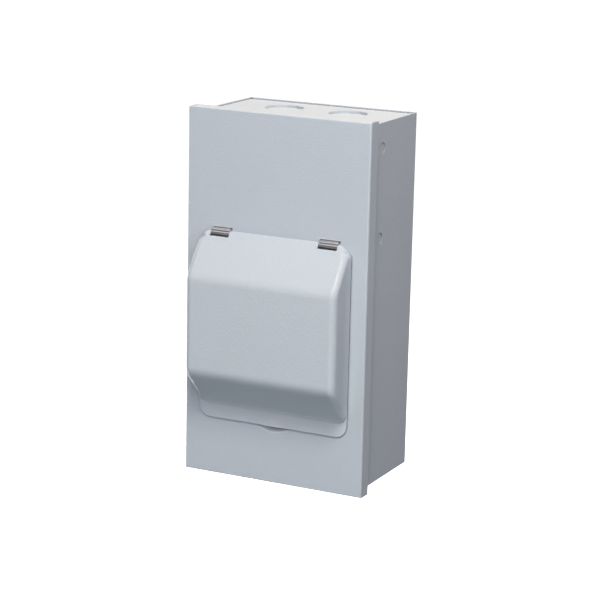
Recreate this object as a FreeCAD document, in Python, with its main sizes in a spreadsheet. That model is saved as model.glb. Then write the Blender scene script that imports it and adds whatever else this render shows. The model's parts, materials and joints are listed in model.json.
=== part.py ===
"""AC disconnect box: a small wall enclosure of folded sheet steel with a hinged flap.

Millimetres, +Z up. The origin is the middle of the back face, which rests on the wall (y = 0),
and the front of the box faces -Y. "out" is always the distance from the wall, so y = -out.
"""
import FreeCAD, Part
import math
import operator
import os
from types import SimpleNamespace

import Sketcher
from FreeCAD import Placement, Rotation, Vector

DRIVING_SIZES = [
    # alias, value, meaning
    ("cover_width", 129, "overall width, across the front cover"),
    ("cover_height", 242, "overall height, across the front cover"),
    ("box_depth", 78, "wall to the cover's front face"),
    ("sheet", 1.0, "steel sheet of cover, door and body"),
    ("cover_return", 10.5, "depth of the cover's folded rim"),
    ("cover_bend", 1.3, "outer radius of the cover's folds"),
    ("corner_slit", 0.5, "gap between two rim flanges at a corner"),
    ("body_width", 122, "outside width of the wrapped body"),
    ("body_height", 236, "outside height of the wrapped body"),
    ("cover_gap", 0.3, "clearance between the body's lips and the cover"),
    ("lip_width", 8, "in-turned front lips of the body"),
    ("lip_relief", 10, "how far the side lips stop short of the body's ends"),
    ("end_step", 1.0, "how far the end plates sit inside the wrap's edges"),
    ("end_flange", 10, "depth of the end plates' folded flanges"),
    ("knockout_radius", 12.75, "half of the 25.5 mm hole that an M25 gland takes"),
    ("knockout_spacing", 46, "distance between the two knockouts of an end"),
    ("knockout_out", 24.5, "knockout centres from the wall"),
    ("knockout_gap", 0.1, "sheared gap around a knockout disc"),
    ("knockout_drop", 1.7, "how far a disc is set in from the end plate's face"),
    ("nib_width", 2.0, "bridge that holds a knockout disc"),
    ("nib_root", 1.0, "how far a bridge lies over its disc"),
    ("nib_reach", 1.2, "how far a bridge reaches past its disc, under the plate"),
    ("clinch_radius", 3.85, "round press mark on the body's sides"),
    ("clinch_depth", 0.4, "depth of a press mark"),
    ("clinch_out", 52.8, "press marks from the wall"),
    ("clinch_high", 101.7, "height of the upper press mark"),
    ("clinch_low", 43.8, "height of the lower press mark"),
    ("fixing_spacing_x", 80, "wall screw holes, across"),
    ("fixing_spacing_z", 190, "wall screw holes, up and down"),
    ("fixing_radius", 2.75, "wall screw hole radius"),
    ("door_width", 107, "flap width"),
    ("door_top", 43.2, "height of the flap's rolled top edge"),
    ("door_bottom", -82.5, "height of the flap's lower edge"),
    ("door_gap", 0.2, "clearance between flap and cover"),
    ("door_corner", 8, "radius of the flap's lower corners"),
    ("door_round", 2, "outer radius of the flap's drawn edges"),
    ("bulge_corner", 7, "corner radius of the hood where it leaves the cover"),
    ("front_corner", 4.5, "corner radius of the hood's flat front"),
    ("knuckle_inset", 5.5, "how far the rolled edge stops short of the flap's sides"),
    ("bulge_depth", 22.5, "cover face to the flap's flat front"),
    ("crest_high", 15.4, "height where the upper slope meets the flat front"),
    ("crest_low", -49.0, "height where the flat front meets the lower slope"),
    ("bulge_foot", -71.7, "height where the lower slope meets the bottom flange"),
    ("pin_radius", 0.7, "hinge wire"),
    ("pin_inset", 6, "how far the hinge wire stops short of the flap's sides"),
    ("pin_clearance", 0.05, "running clearance of a clip on the hinge wire"),
    ("clip_sheet", 0.6, "spring steel of the hinge clips"),
    ("clip_width", 13.2, "hinge clip width"),
    ("clip_top", 44.4, "top of the hinge clips where they leave the cover"),
    ("clip_curl", 0.4, "how far a clip's curl reaches back under the wire"),
    ("clip_centre", 38.4, "hinge clips, either side of the middle"),
    ("clip_leg", 10, "leg of a clip behind the cover"),
    ("clip_slack", 0.5, "clearance of a clip in its slot and in the flap's notch"),
    ("notch_bottom", 39.5, "lower edge of the flap's clip notches"),
    ("window_width", 71.5, "opening for four modules"),
    ("window_height", 46, "opening for the module noses"),
    ("module_height", -17, "height of the module row's middle"),
    ("dish_radius", 18, "pressed finger dish in the cover, its rim"),
    ("dish_bottom", -86.5, "lowest point of the finger dish"),
    ("dish_depth", 2.3, "depth of the finger dish"),
    ("rail_out", 31, "front of the DIN rail from the wall"),
    ("rail_width", 35, "DIN rail, brim to brim"),
    ("rail_channel", 27, "DIN rail, width over its channel"),
    ("rail_depth", 7.5, "DIN rail depth"),
    ("rail_sheet", 1.0, "DIN rail thickness"),
    ("rail_length", 78, "DIN rail length"),
    ("standoff_radius", 5, "rail standoff"),
    ("standoff_spacing", 56, "rail standoffs, across"),
    ("screw_radius", 1.95, "M4 shank"),
    ("screw_clearance", 0.25, "clearance of an M4 shank in a plain hole"),
    ("thread_radius", 2.05, "M4 tapped hole"),
    ("cover_screw_length", 14, "cover screws under the head"),
    ("rail_screw_length", 11, "rail screws under the head"),
    ("clamp_screw_length", 2.5, "terminal screws under the head"),
    ("standoff_thread", 14, "depth of the thread in a standoff"),
    ("post_thread", 18, "depth of the thread in a cover post"),
    ("cross_slot", 1.0, "width of a screw's cross slot"),
    ("post_radius", 4, "cover post"),
    ("post_spacing", 90, "cover posts, across"),
    ("screw_head_radius", 3.6, "pan head of an M4 screw"),
    ("screw_head_depth", 2.4, "height of a pan head"),
    ("module", 17.5, "width of one device module"),
    ("module_slack", 0.1, "gap at each side of a device"),
    ("housing_height", 85, "device height"),
    ("housing_back", 26, "back of a device from the wall"),
    ("shoulder_out", 75, "device shoulders from the wall"),
    ("nose_out", 91, "device nose from the wall"),
    ("nose_height", 45, "height of a device nose"),
    ("hook_reach", 3.2, "grip of a device behind the rail's brim"),
    ("rail_slack", 0.3, "clearance of a device around the rail"),
    ("toggle_margin", 8.5, "how much narrower a toggle is than its device"),
    ("toggle_out", 83.5, "toggle pivot from the wall"),
    ("toggle_barrel", 8.7, "radius of a toggle's barrel"),
    ("toggle_reach", 14.2, "pivot to the tip of a toggle"),
    ("toggle_slack", 0.3, "clearance around a toggle"),
    ("toggle_lever", 4.4, "thickness of a toggle's lever"),
    ("toggle_flat", 4, "pivot to the flat at a barrel's back"),
    ("lever_way_depth", 4, "depth of the slot that a lever swings in"),
    ("lever_way_reach", 11, "half height of that slot"),
    ("latch_width", 7.4, "sliding rail latch"),
    ("latch_sheet", 2.0, "thickness of a rail latch"),
    ("latch_slack", 0.3, "clearance around a rail latch"),
    ("latch_tail", 3.5, "how far a latch stands below its device"),
    ("latch_slot_width", 4, "screwdriver slot of a latch, across"),
    ("latch_slot_height", 1.2, "screwdriver slot of a latch, up"),
    ("latch_slot_margin", 1.0, "latch end to its screwdriver slot"),
    ("terminal_out", 56, "middle of the terminals from the wall"),
    ("terminal_width", 9, "terminal mouth"),
    ("terminal_depth", 13, "depth of a terminal mouth"),
    ("clamp_size", 8.4, "box clamp, outside"),
    ("clamp_wall", 1.4, "box clamp wall"),
    ("terminal_screw_radius", 2.8, "terminal screw head"),
    ("terminal_screw_slack", 0.3, "clearance around a terminal screw's head"),
    ("busbar_sheet", 2.0, "thickness of the copper comb"),
    ("busbar_drop", 6, "lower edge of the comb below the devices"),
    ("busbar_height", 3.5, "height of the comb's strip"),
    ("prong_width", 4, "prong of the comb"),
    ("prong_reach", 9, "how far a prong enters its device"),
    ("strip_overhang", 3, "how far the comb's strip runs past its outer prongs"),
    ("trough_wall", 1.5, "insulating trough around the comb"),
    ("bar_size", 8, "square section of the neutral and earth bars"),
    ("bar_out", 18, "back of those bars from the wall"),
    ("bar_pitch", 10, "distance between bar terminals"),
    ("bar_wire_radius", 2.4, "wire hole of a bar"),
    ("bar_wire_shift", 0.5, "how far the wire holes sit behind a bar's middle"),
    ("bar_screw_head", 3.06, "screw head of a bar"),
    ("neutral_height", 66, "height of the neutral bar's middle"),
    ("holder_length", 68, "insulating holder of the neutral bar"),
    ("holder_margin", 2, "how far the holder stands above and below the bar"),
    ("holder_foot", 3, "thickness of the holder's foot"),
    ("holder_leg_width", 5, "holder leg, across"),
    ("holder_leg_spacing", 49.8, "holder legs, across"),
    ("holder_end_gap", 0.2, "gap between the bar and the holder's ends"),
    ("holder_end_rise", 5, "how far the holder's ends reach past the bar's back"),
    ("earth_height", -88, "height of the earth bar's middle"),
    ("spacer_radius", 4, "metal spacer of the earth bar"),
    ("spacer_spacing", 40, "spacers of the earth bar, across"),
    ("stud_radius", 2.5, "earth stud"),
    ("stud_end", 20, "end of the earth stud from the wall"),
    ("nut_radius", 4.6, "earth nut over its corners"),
    ("nut_height", 4, "height of the earth nut"),
    ("washer_radius", 6, "washer of the earth nut"),
    ("washer_height", 2.2, "thickness of the earth nut's washers"),
]


class Size:
    """A length together with the spreadsheet formula that gives it."""

    def __init__(self, value, formula):
        self.value = float(value)
        self.formula = formula

    def __add__(self, other):
        return combine(self, "+", other)

    def __radd__(self, other):
        return combine(other, "+", self)

    def __sub__(self, other):
        return combine(self, "-", other)

    def __rsub__(self, other):
        return combine(other, "-", self)

    def __mul__(self, other):
        return combine(self, "*", other)

    def __rmul__(self, other):
        return combine(other, "*", self)

    def __truediv__(self, other):
        return combine(self, "/", other)

    def __neg__(self):
        return combine(0, "-", self)


OPERATIONS = {"+": operator.add, "-": operator.sub, "*": operator.mul, "/": operator.truediv}


def as_size(number):
    """A plain number as a Size."""
    return number if isinstance(number, Size) else Size(number, f"({number})")


def combine(left, sign, right):
    """Two sizes joined by + - * or /, with their formulas."""
    left, right = as_size(left), as_size(right)
    value = OPERATIONS[sign](left.value, right.value)
    return Size(value, f"({left.formula} {sign} {right.formula})")


def make_sheet(doc):
    """The spreadsheet of driving sizes, and each size under its alias."""
    sheet = doc.addObject("Spreadsheet::Sheet", "Sizes")
    for row, (alias, value, meaning) in enumerate(DRIVING_SIZES, start=1):
        sheet.set(f"A{row}", meaning)
        sheet.set(f"B{row}", str(value))
        sheet.setAlias(f"B{row}", alias)
    doc.recompute()
    return SimpleNamespace(**{alias: Size(value, f"Sizes.{alias}")
                              for alias, value, meaning in DRIVING_SIZES})


doc = FreeCAD.newDocument("ac_disconnect_box")
d = make_sheet(doc)
nodes = []

# Places that several pieces share, then plain ratios and angles: the cross slot's share of a
# screw head, a toggle's lift above level when it is on, and how far the hood's inner corners
# step in at its crests for each unit of sheet.
COVER_INSIDE = d.box_depth - d.sheet
BODY_FRONT = COVER_INSIDE - d.cover_gap
DOOR_BACK = d.box_depth + d.door_gap
DOOR_FRONT = d.box_depth + d.bulge_depth
KNUCKLE_RADIUS = d.pin_radius + d.sheet
HINGE_OUT = DOOR_BACK + KNUCKLE_RADIUS
HINGE_HEIGHT = d.door_top - KNUCKLE_RADIUS
RAIL_WEB = d.rail_out - d.rail_depth
NEUTRAL_WAYS = 6  # terminals of the neutral bar
EARTH_WAYS = 5  # terminals of the earth bar
CLIP_BORE = d.pin_radius + d.pin_clearance
CLIP_RIM = CLIP_BORE + d.clip_sheet
CLIP_BEND = d.clip_top - CLIP_RIM
DRIVE_SHARE = 0.75
TOGGLE_LIFT = 40
UPPER_MITRE = 0.30
LOWER_MITRE = 0.40


# ---------------------------------------------------------------- helpers

def bind(item, prop, size):
    """Ties a property to its formula in the spreadsheet."""
    item.setExpression(prop, as_size(size).formula)


def keep(item, label):
    """Marks an object as a finished piece of the box under its own name."""
    item.Label = label
    nodes.append(item)
    return item


def block(name, x, out, z):
    """A block between two limits across, away from the wall, and up."""
    item = doc.addObject("Part::Box", name)
    bind(item, "Length", x[1] - x[0])
    bind(item, "Width", out[1] - out[0])
    bind(item, "Height", z[1] - z[0])
    bind(item, "Placement.Base.x", x[0])
    bind(item, "Placement.Base.y", -as_size(out[1]))
    bind(item, "Placement.Base.z", z[0])
    return item


def cylinder(name, radius, length, base, turn):
    """A cylinder from a base point (x, y, z), along +Z turned by a rotation."""
    item = doc.addObject("Part::Cylinder", name)
    bind(item, "Radius", radius)
    bind(item, "Height", length)
    item.Placement = Placement(Vector(), turn)
    for axis, place in zip("xyz", base):
        bind(item, f"Placement.Base.{axis}", place)
    return item


def rod_out(name, radius, x, z, out):
    """A round rod that points away from the wall."""
    turn = Rotation(Vector(1, 0, 0), 90)
    return cylinder(name, radius, out[1] - out[0], (x, -as_size(out[0]), z), turn)


def rod_across(name, radius, x, out, z):
    """A round rod that lies across the box."""
    turn = Rotation(Vector(0, 1, 0), 90)
    return cylinder(name, radius, x[1] - x[0], (x[0], -as_size(out), z), turn)


def rod_up(name, radius, x, out, z):
    """An upright round rod."""
    return cylinder(name, radius, z[1] - z[0], (x, -as_size(out), z[0]), Rotation())


def fuse(name, pieces):
    """Several touching shapes joined into one."""
    item = doc.addObject("Part::MultiFuse", name)
    item.Shapes = pieces
    item.Refine = True
    return item


def cut(name, base, tools):
    """A shape with other shapes taken away."""
    item = doc.addObject("Part::Cut", name)
    item.Base = base
    item.Tool = tools[0] if len(tools) == 1 else fuse(name + "_tools", tools)
    item.Refine = True
    return item


def group(name, pieces):
    """Identical pieces that share one node as separate solids."""
    item = doc.addObject("Part::Compound", name)
    item.Links = pieces
    return item


def new_body(name):
    """A PartDesign body."""
    return doc.addObject("PartDesign::Body", name)


def attach(body, sketch, role, offset):
    """Puts a sketch on one of its body's origin planes, moved along the plane's normal."""
    planes = [item for item in body.Origin.OriginFeatures if item.Role == role]
    sketch.AttachmentSupport = (planes[0], "")
    sketch.MapMode = "FlatFace"
    bind(sketch, "AttachmentOffset.Base.z", offset)


def hold(sketch, kind, members, size):
    """A dimension of a sketch, bound to its size."""
    place = sketch.addConstraint(Sketcher.Constraint(kind, *members, size.value))
    bind(sketch, f"Constraints[{place}]", size)


def polygon(body, name, role, corners, offset=0):
    """A sketch of straight lines through corners that are held by their sizes."""
    sketch = body.newObject("Sketcher::SketchObject", name)
    attach(body, sketch, role, offset)
    corners = [(as_size(across), as_size(up)) for across, up in corners]
    count = len(corners)
    for index, (across, up) in enumerate(corners):
        end_across, end_up = corners[(index + 1) % count]
        line = Part.LineSegment(Vector(across.value, up.value, 0),
                                Vector(end_across.value, end_up.value, 0))
        sketch.addGeometry(line, False)
    for index, (across, up) in enumerate(corners):
        sketch.addConstraint(Sketcher.Constraint("Coincident", index, 2, (index + 1) % count, 1))
        hold(sketch, "DistanceX", (-1, 1, index, 1), across)
        hold(sketch, "DistanceY", (-1, 1, index, 1), up)
    return sketch


def rectangle(body, name, role, across, up, offset=0):
    """A rectangular sketch between two limits each way."""
    corners = [(across[0], up[0]), (across[1], up[0]), (across[1], up[1]), (across[0], up[1])]
    return polygon(body, name, role, corners, offset)


def rounded_rectangle(body, name, across, up, radius, offset):
    """A sketch facing out from the wall: a rectangle with four equal round corners."""
    sketch = body.newObject("Sketcher::SketchObject", name)
    attach(body, sketch, "XZ_Plane", offset)
    radius = as_size(radius)
    low, high = as_size(across[0]), as_size(across[1])
    bottom, top = as_size(up[0]), as_size(up[1])
    corners = [(high - radius, top - radius, 0), (low + radius, top - radius, 90),
               (low + radius, bottom + radius, 180), (high - radius, bottom + radius, 270)]
    for across_place, up_place, start in corners:
        middle = Vector(across_place.value, up_place.value, 0)
        circle = Part.Circle(middle, Vector(0, 0, 1), radius.value)
        sketch.addGeometry(Part.ArcOfCircle(circle, math.radians(start), math.radians(start + 90)))
    arcs = [sketch.Geometry[index] for index in range(4)]
    for index in range(4):
        sketch.addGeometry(Part.LineSegment(arcs[index].EndPoint, arcs[(index + 1) % 4].StartPoint))
    for index, (across_place, up_place, start) in enumerate(corners):
        line = index + 4
        sketch.addConstraint(Sketcher.Constraint("Tangent", index, 2, line, 1))
        sketch.addConstraint(Sketcher.Constraint("Tangent", line, 2, (index + 1) % 4, 1))
        hold(sketch, "DistanceX", (-1, 1, index, 3), across_place)
        hold(sketch, "DistanceY", (-1, 1, index, 3), up_place)
        hold(sketch, "Radius", (index,), radius)
    return sketch


def circles(body, name, role, radius, centres, offset=0):
    """A sketch of equal circles."""
    sketch = body.newObject("Sketcher::SketchObject", name)
    attach(body, sketch, role, offset)
    for index, (across, up) in enumerate(centres):
        across, up, radius = as_size(across), as_size(up), as_size(radius)
        middle = Vector(across.value, up.value, 0)
        sketch.addGeometry(Part.Circle(middle, Vector(0, 0, 1), radius.value), False)
        hold(sketch, "DistanceX", (-1, 1, index, 3), across)
        hold(sketch, "DistanceY", (-1, 1, index, 3), up)
        hold(sketch, "Radius", (index,), radius)
    return sketch


def pad(body, sketch, length, middle=False):
    """Adds a sketch's area over a length, both ways from the sketch if it is the middle."""
    feature = body.newObject("PartDesign::Pad", sketch.Name + "_pad")
    feature.Profile = sketch
    bind(feature, "Length", length)
    feature.Midplane = middle
    sketch.Visibility = False
    doc.recompute()
    return feature


def pocket(body, sketch, length, forward=True, middle=False):
    """Takes a sketch's area away over a length, and stops if nothing was cut."""
    before = body.Shape.Volume
    feature = body.newObject("PartDesign::Pocket", sketch.Name + "_pocket")
    feature.Profile = sketch
    bind(feature, "Length", length)
    feature.Reversed = forward
    feature.Midplane = middle
    doc.recompute()
    if body.Shape.Volume >= before:
        raise RuntimeError(f"{feature.Name} cuts nothing")
    return feature


def loft(body, name, kind, base, front):
    """Adds or takes away the straight-sided solid between two sketches."""
    feature = body.newObject(kind, name)
    feature.Profile = base
    feature.Sections = [front]
    feature.Ruled = True
    doc.recompute()
    return feature


def round_edges(body, name, radius, wanted):
    """Fillets the edges of a body's tip for which wanted(edge) is true."""
    tip = body.Tip
    edges = [f"Edge{index}" for index, edge in enumerate(tip.Shape.Edges, start=1) if wanted(edge)]
    feature = body.newObject("PartDesign::Fillet", name)
    feature.Base = (tip, edges)
    bind(feature, "Radius", radius)
    doc.recompute()
    return feature


def spans(edge):
    """An edge's size along each axis."""
    box = edge.BoundBox
    return box.XLength, box.YLength, box.ZLength


def runs_along(edge, axis):
    """Whether an edge is straight along x, y or z (0, 1 or 2)."""
    return all((length > 0.5) == (index == axis) for index, length in enumerate(spans(edge)))


def near(value, size):
    """Whether a measured place is the one that a size gives."""
    return abs(value - as_size(size).value) < 0.05


# ---------------------------------------------------------------- body

def make_wrap():
    """Back and both sides in one folded sheet, with in-turned front lips."""
    body = new_body("body_wrap")
    half = d.body_width / 2
    inner = half - d.sheet
    outline = [(-half, 0), (half, 0), (half, -BODY_FRONT), (inner, -BODY_FRONT),
               (inner, -d.sheet), (-inner, -d.sheet), (-inner, -BODY_FRONT), (-half, -BODY_FRONT)]
    pad(body, polygon(body, "wrap_section", "XY_Plane", outline), d.body_height, middle=True)
    for side, sign in (("left", -1), ("right", 1)):
        lip_across = sorted((sign * (half - d.sheet / 2), sign * (inner - d.lip_width)),
                            key=lambda size: size.value)
        lip = rectangle(body, f"lip_{side}", "XY_Plane", lip_across,
                        (-BODY_FRONT, -(BODY_FRONT - d.sheet)))
        pad(body, lip, d.body_height - 2 * d.lip_relief, middle=True)
    outer = half.value
    round_edges(body, "wrap_bends", 1.5 * d.sheet,
                lambda edge: runs_along(edge, 2) and near(abs(edge.BoundBox.Center.x), outer)
                and near(edge.BoundBox.Center.y, 0))
    fixings = [(sx * d.fixing_spacing_x / 2, sz * d.fixing_spacing_z / 2)
               for sx in (-1, 1) for sz in (-1, 1)]
    holes = circles(body, "wall_fixings", "XZ_Plane", d.fixing_radius, fixings)
    pocket(body, holes, d.sheet)
    marks = [(-d.clinch_out, d.clinch_high), (-d.clinch_out, d.clinch_low)]
    right = circles(body, "clinches_right", "YZ_Plane", d.clinch_radius, marks, half)
    pocket(body, right, d.clinch_depth, forward=False)
    left = circles(body, "clinches_left", "YZ_Plane", d.clinch_radius, marks, -half)
    pocket(body, left, d.clinch_depth, forward=True)
    return keep(body, "body_wrap")


def make_end(name, sign):
    """Top or bottom plate: a shallow tray inside the wrap, with two knockout holes."""
    face = d.body_height / 2 - d.end_step
    under = face - d.sheet
    foot = under - d.end_flange
    inner = d.body_width / 2 - d.sheet
    levels = {"plate": (under, face), "flange": (foot, under)}
    if sign < 0:
        levels = {part: (-high, -low) for part, (low, high) in levels.items()}
    plate = block(name + "_plate", (-inner, inner), (d.sheet, BODY_FRONT), levels["plate"])
    side_out = (2 * d.sheet, BODY_FRONT - d.sheet)
    pieces = [
        plate,
        block(name + "_back", (-inner, inner), (d.sheet, 2 * d.sheet), levels["flange"]),
        block(name + "_front", (-inner, inner), (BODY_FRONT - d.sheet, BODY_FRONT),
              trimmed_front(levels["flange"], sign)),
        block(name + "_left", (-inner, d.sheet - inner), side_out, levels["flange"]),
        block(name + "_right", (inner - d.sheet, inner), side_out, levels["flange"]),
    ]
    tray = fuse(name + "_tray", pieces)
    holes = [rod_up(f"{name}_hole_{side}", d.knockout_radius, place * d.knockout_spacing / 2,
                    d.knockout_out, levels["plate"])
             for side, place in (("left", -1), ("right", 1))]
    return keep(cut(name, tray, holes), name)


def trimmed_front(level, sign):
    """The front flange stops short of the side lips of the wrap."""
    low, high = level
    spare = d.end_flange + d.end_step + d.sheet - d.lip_relief + d.cover_gap
    return (low + spare, high) if sign > 0 else (low, high - spare)


def make_knockout(name, place, sign):
    """A round disc that two nibs hold under its hole."""
    face = d.body_height / 2 - d.end_step
    underside = face - d.sheet
    top = face - d.knockout_drop
    middle = place * d.knockout_spacing / 2
    radius = d.knockout_radius - d.knockout_gap
    disc_level = (top - d.sheet, top)
    nib_level = (top, underside)
    if sign < 0:
        disc_level = (-disc_level[1], -disc_level[0])
        nib_level = (-nib_level[1], -nib_level[0])
    pieces = [rod_up(name + "_disc", radius, middle, d.knockout_out, disc_level)]
    for side in (-1, 1):
        nib_middle = middle + side * d.nib_width * 1.5
        edge = d.knockout_out - radius
        pieces.append(block(f"{name}_nib_{side + 1}",
                            (nib_middle - d.nib_width / 2, nib_middle + d.nib_width / 2),
                            (edge - d.nib_reach, edge + d.nib_root), nib_level))
    return keep(fuse(name, pieces), name)


# ---------------------------------------------------------------- cover and flap

def make_cover():
    """The front cover: a tray with window, clip slots, screw holes and finger dish."""
    body = new_body("cover_sheet")
    half_width = d.cover_width / 2
    half_height = d.cover_height / 2
    rim_out = d.box_depth - d.cover_return
    face = rectangle(body, "cover_outline", "XZ_Plane", (-half_width, half_width),
                     (-half_height, half_height), rim_out)
    pad(body, face, d.cover_return)
    front = -d.box_depth.value
    round_edges(body, "cover_folds", d.cover_bend,
                lambda edge: near(edge.BoundBox.YMin, front) and near(edge.BoundBox.YMax, front))
    hollow = rectangle(body, "cover_hollow", "XZ_Plane",
                       (d.sheet - half_width, half_width - d.sheet),
                       (d.sheet - half_height, half_height - d.sheet), rim_out)
    pocket(body, hollow, d.cover_return - d.sheet)
    inside = -COVER_INSIDE.value
    round_edges(body, "cover_inner_folds", d.cover_bend - d.sheet,
                lambda edge: near(edge.BoundBox.YMin, inside) and near(edge.BoundBox.YMax, inside))
    window_z = (d.module_height - d.window_height / 2, d.module_height + d.window_height / 2)
    window = rectangle(body, "window", "XZ_Plane", (-d.window_width / 2, d.window_width / 2),
                       window_z, COVER_INSIDE)
    pocket(body, window, d.sheet)
    slot_z = (CLIP_BEND + CLIP_BORE - d.clip_slack, d.clip_top + d.clip_slack)
    for side, sign in (("left", -1), ("right", 1)):
        middle = sign * d.clip_centre
        reach = d.clip_width / 2 + d.clip_slack
        slot = rectangle(body, f"clip_slot_{side}", "XZ_Plane", (middle - reach, middle + reach),
                         slot_z, COVER_INSIDE)
        pocket(body, slot, d.sheet)
    places = [(sign * d.post_spacing / 2, d.module_height) for sign in (-1, 1)]
    pocket(body, circles(body, "cover_screw_holes", "XZ_Plane", d.screw_radius + d.screw_clearance,
                         places, COVER_INSIDE), d.sheet)
    cut_corner_slits(body, rim_out)
    return keep(press_dish(body), "front_cover")


def press_dish(cover):
    """The cover with a shallow round dish, half behind the flap, that a finger reaches into."""
    middle = d.dish_bottom + d.dish_radius
    ball_radius = (d.dish_radius * d.dish_radius + d.dish_depth * d.dish_depth) / (2 * d.dish_depth)
    ball_out = d.box_depth + ball_radius - d.dish_depth
    shell = ball("dish_back", ball_radius + d.sheet, ball_out, middle)
    reach = d.dish_radius + 2 * d.sheet
    slab = block("dish_slab", (-reach, reach), (COVER_INSIDE - d.dish_depth - d.sheet,
                                                COVER_INSIDE + d.sheet / 2),
                 (middle - reach, middle + reach))
    bulge = doc.addObject("Part::Common", "dish_bulge")
    bulge.Base = shell
    bulge.Tool = slab
    return cut("dished_cover", fuse("cover_with_bulge", [cover, bulge]),
               [ball("dish_front", ball_radius, ball_out, middle)])


def ball(name, radius, out, z):
    """A sphere in the middle plane of the box."""
    item = doc.addObject("Part::Sphere", name)
    bind(item, "Radius", radius)
    bind(item, "Placement.Base.y", -as_size(out))
    bind(item, "Placement.Base.z", z)
    return item


def cut_corner_slits(body, rim_out):
    """The open seams where two rim flanges meet at each corner."""
    inner = d.cover_width / 2 - d.sheet
    height = d.cover_height / 2
    for index, (sx, sz) in enumerate([(-1, -1), (-1, 1), (1, -1), (1, 1)]):
        across = sorted((sx * inner, sx * (inner - d.corner_slit)), key=lambda size: size.value)
        up = sorted((sz * (height + d.sheet), sz * (height - d.sheet - d.corner_slit)),
                    key=lambda size: size.value)
        slit = rectangle(body, f"corner_slit_{index}", "XZ_Plane", across, up, rim_out)
        pocket(body, slit, d.cover_return - d.cover_bend)


def make_door():
    """The flap: a deep drawn hood with a bottom flange and a top edge rolled around a wire."""
    body = new_body("door_flap")
    half = d.door_width / 2
    flange = rectangle(body, "bottom_flange", "XZ_Plane", (-half, half),
                       (d.door_bottom, d.bulge_foot + d.bulge_corner), DOOR_BACK)
    pad(body, flange, d.sheet)
    bottom = d.door_bottom.value
    round_edges(body, "flange_corners", d.door_corner,
                lambda edge: runs_along(edge, 1) and near(edge.BoundBox.ZMin, bottom))
    add_hood(body, half)
    knuckle_half = d.door_width - 2 * d.knuckle_inset
    centre = [(-HINGE_OUT, HINGE_HEIGHT)]
    pad(body, circles(body, "knuckle", "YZ_Plane", KNUCKLE_RADIUS, centre), knuckle_half,
        middle=True)
    pocket(body, circles(body, "wire_bore", "YZ_Plane", d.pin_radius, centre), d.door_width + 2,
           middle=True)
    for side_name, sign in (("left", -1), ("right", 1)):
        middle = sign * d.clip_centre
        reach = d.clip_width / 2 + d.clip_slack
        notch = rectangle(body, f"clip_notch_{side_name}", "XZ_Plane",
                          (middle - reach, middle + reach), (d.notch_bottom, d.door_top + 1),
                          d.box_depth)
        pocket(body, notch, d.bulge_depth)
    return keep(body, "door_flap")


def knuckle_tangent():
    """Where the upper slope leaves the rolled edge: its distance from the wall and height."""
    out = DOOR_FRONT.value - HINGE_OUT.value
    rise = d.crest_high.value - HINGE_HEIGHT.value
    angle = math.atan2(rise, out) + math.acos(KNUCKLE_RADIUS.value / math.hypot(out, rise))
    return (HINGE_OUT + KNUCKLE_RADIUS * math.cos(angle),
            HINGE_HEIGHT + KNUCKLE_RADIUS * math.sin(angle))


def add_hood(body, half):
    """The drawn hood: a hollow loft from the cover to a smaller flat front."""
    slope_start = knuckle_tangent()
    rise = (slope_start[1] - d.crest_high) / (DOOR_FRONT - slope_start[0])
    top = slope_start[1] + rise * (slope_start[0] - DOOR_BACK)
    base = rounded_rectangle(body, "hood_base", (-half, half), (d.bulge_foot - d.sheet, top),
                             d.bulge_corner, DOOR_BACK)
    front = rounded_rectangle(body, "hood_front", (-half, half), (d.crest_low, d.crest_high),
                              d.front_corner, DOOR_FRONT)
    loft(body, "hood", "PartDesign::AdditiveLoft", base, front)
    face = -DOOR_FRONT.value
    round_edges(body, "hood_rounds", d.door_round,
                lambda edge: near(edge.BoundBox.YMin, face) and near(edge.BoundBox.YMax, face))
    inner = half - d.sheet
    inside = DOOR_FRONT - d.sheet
    crest = d.crest_high - d.sheet * UPPER_MITRE
    hollow_base = rounded_rectangle(
        body, "hollow_base", (-inner, inner),
        (d.bulge_foot + d.sheet * LOWER_MITRE, crest + rise * (inside - DOOR_BACK)),
        d.bulge_corner - d.sheet, DOOR_BACK)
    hollow_front = rounded_rectangle(
        body, "hollow_front", (-inner, inner), (d.crest_low + d.sheet * LOWER_MITRE, crest),
        d.front_corner - d.sheet, inside)
    loft(body, "hood_hollow", "PartDesign::SubtractiveLoft", hollow_base, hollow_front)
    deep = -inside.value
    round_edges(body, "hood_inner_rounds", d.door_round - d.sheet,
                lambda edge: near(edge.BoundBox.YMin, deep) and near(edge.BoundBox.YMax, deep))
    back = -(DOOR_BACK - 1)
    beyond = -(slope_start[0] + 3)
    trim = polygon(body, "hood_top_trim", "YZ_Plane",
                   [(back, HINGE_HEIGHT), (-DOOR_BACK, HINGE_HEIGHT),
                    (-slope_start[0], slope_start[1]), (beyond, slope_start[1]),
                    (beyond, top + 1), (back, top + 1)])
    pocket(body, trim, d.door_width + 2, middle=True)


def make_door_pin():
    """The hinge wire in the flap's rolled edge."""
    half = d.door_width / 2 - d.pin_inset
    pin = rod_across("door_pin", d.pin_radius, (-half, half), HINGE_OUT, HINGE_HEIGHT)
    return keep(pin, "door_pin")


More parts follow.
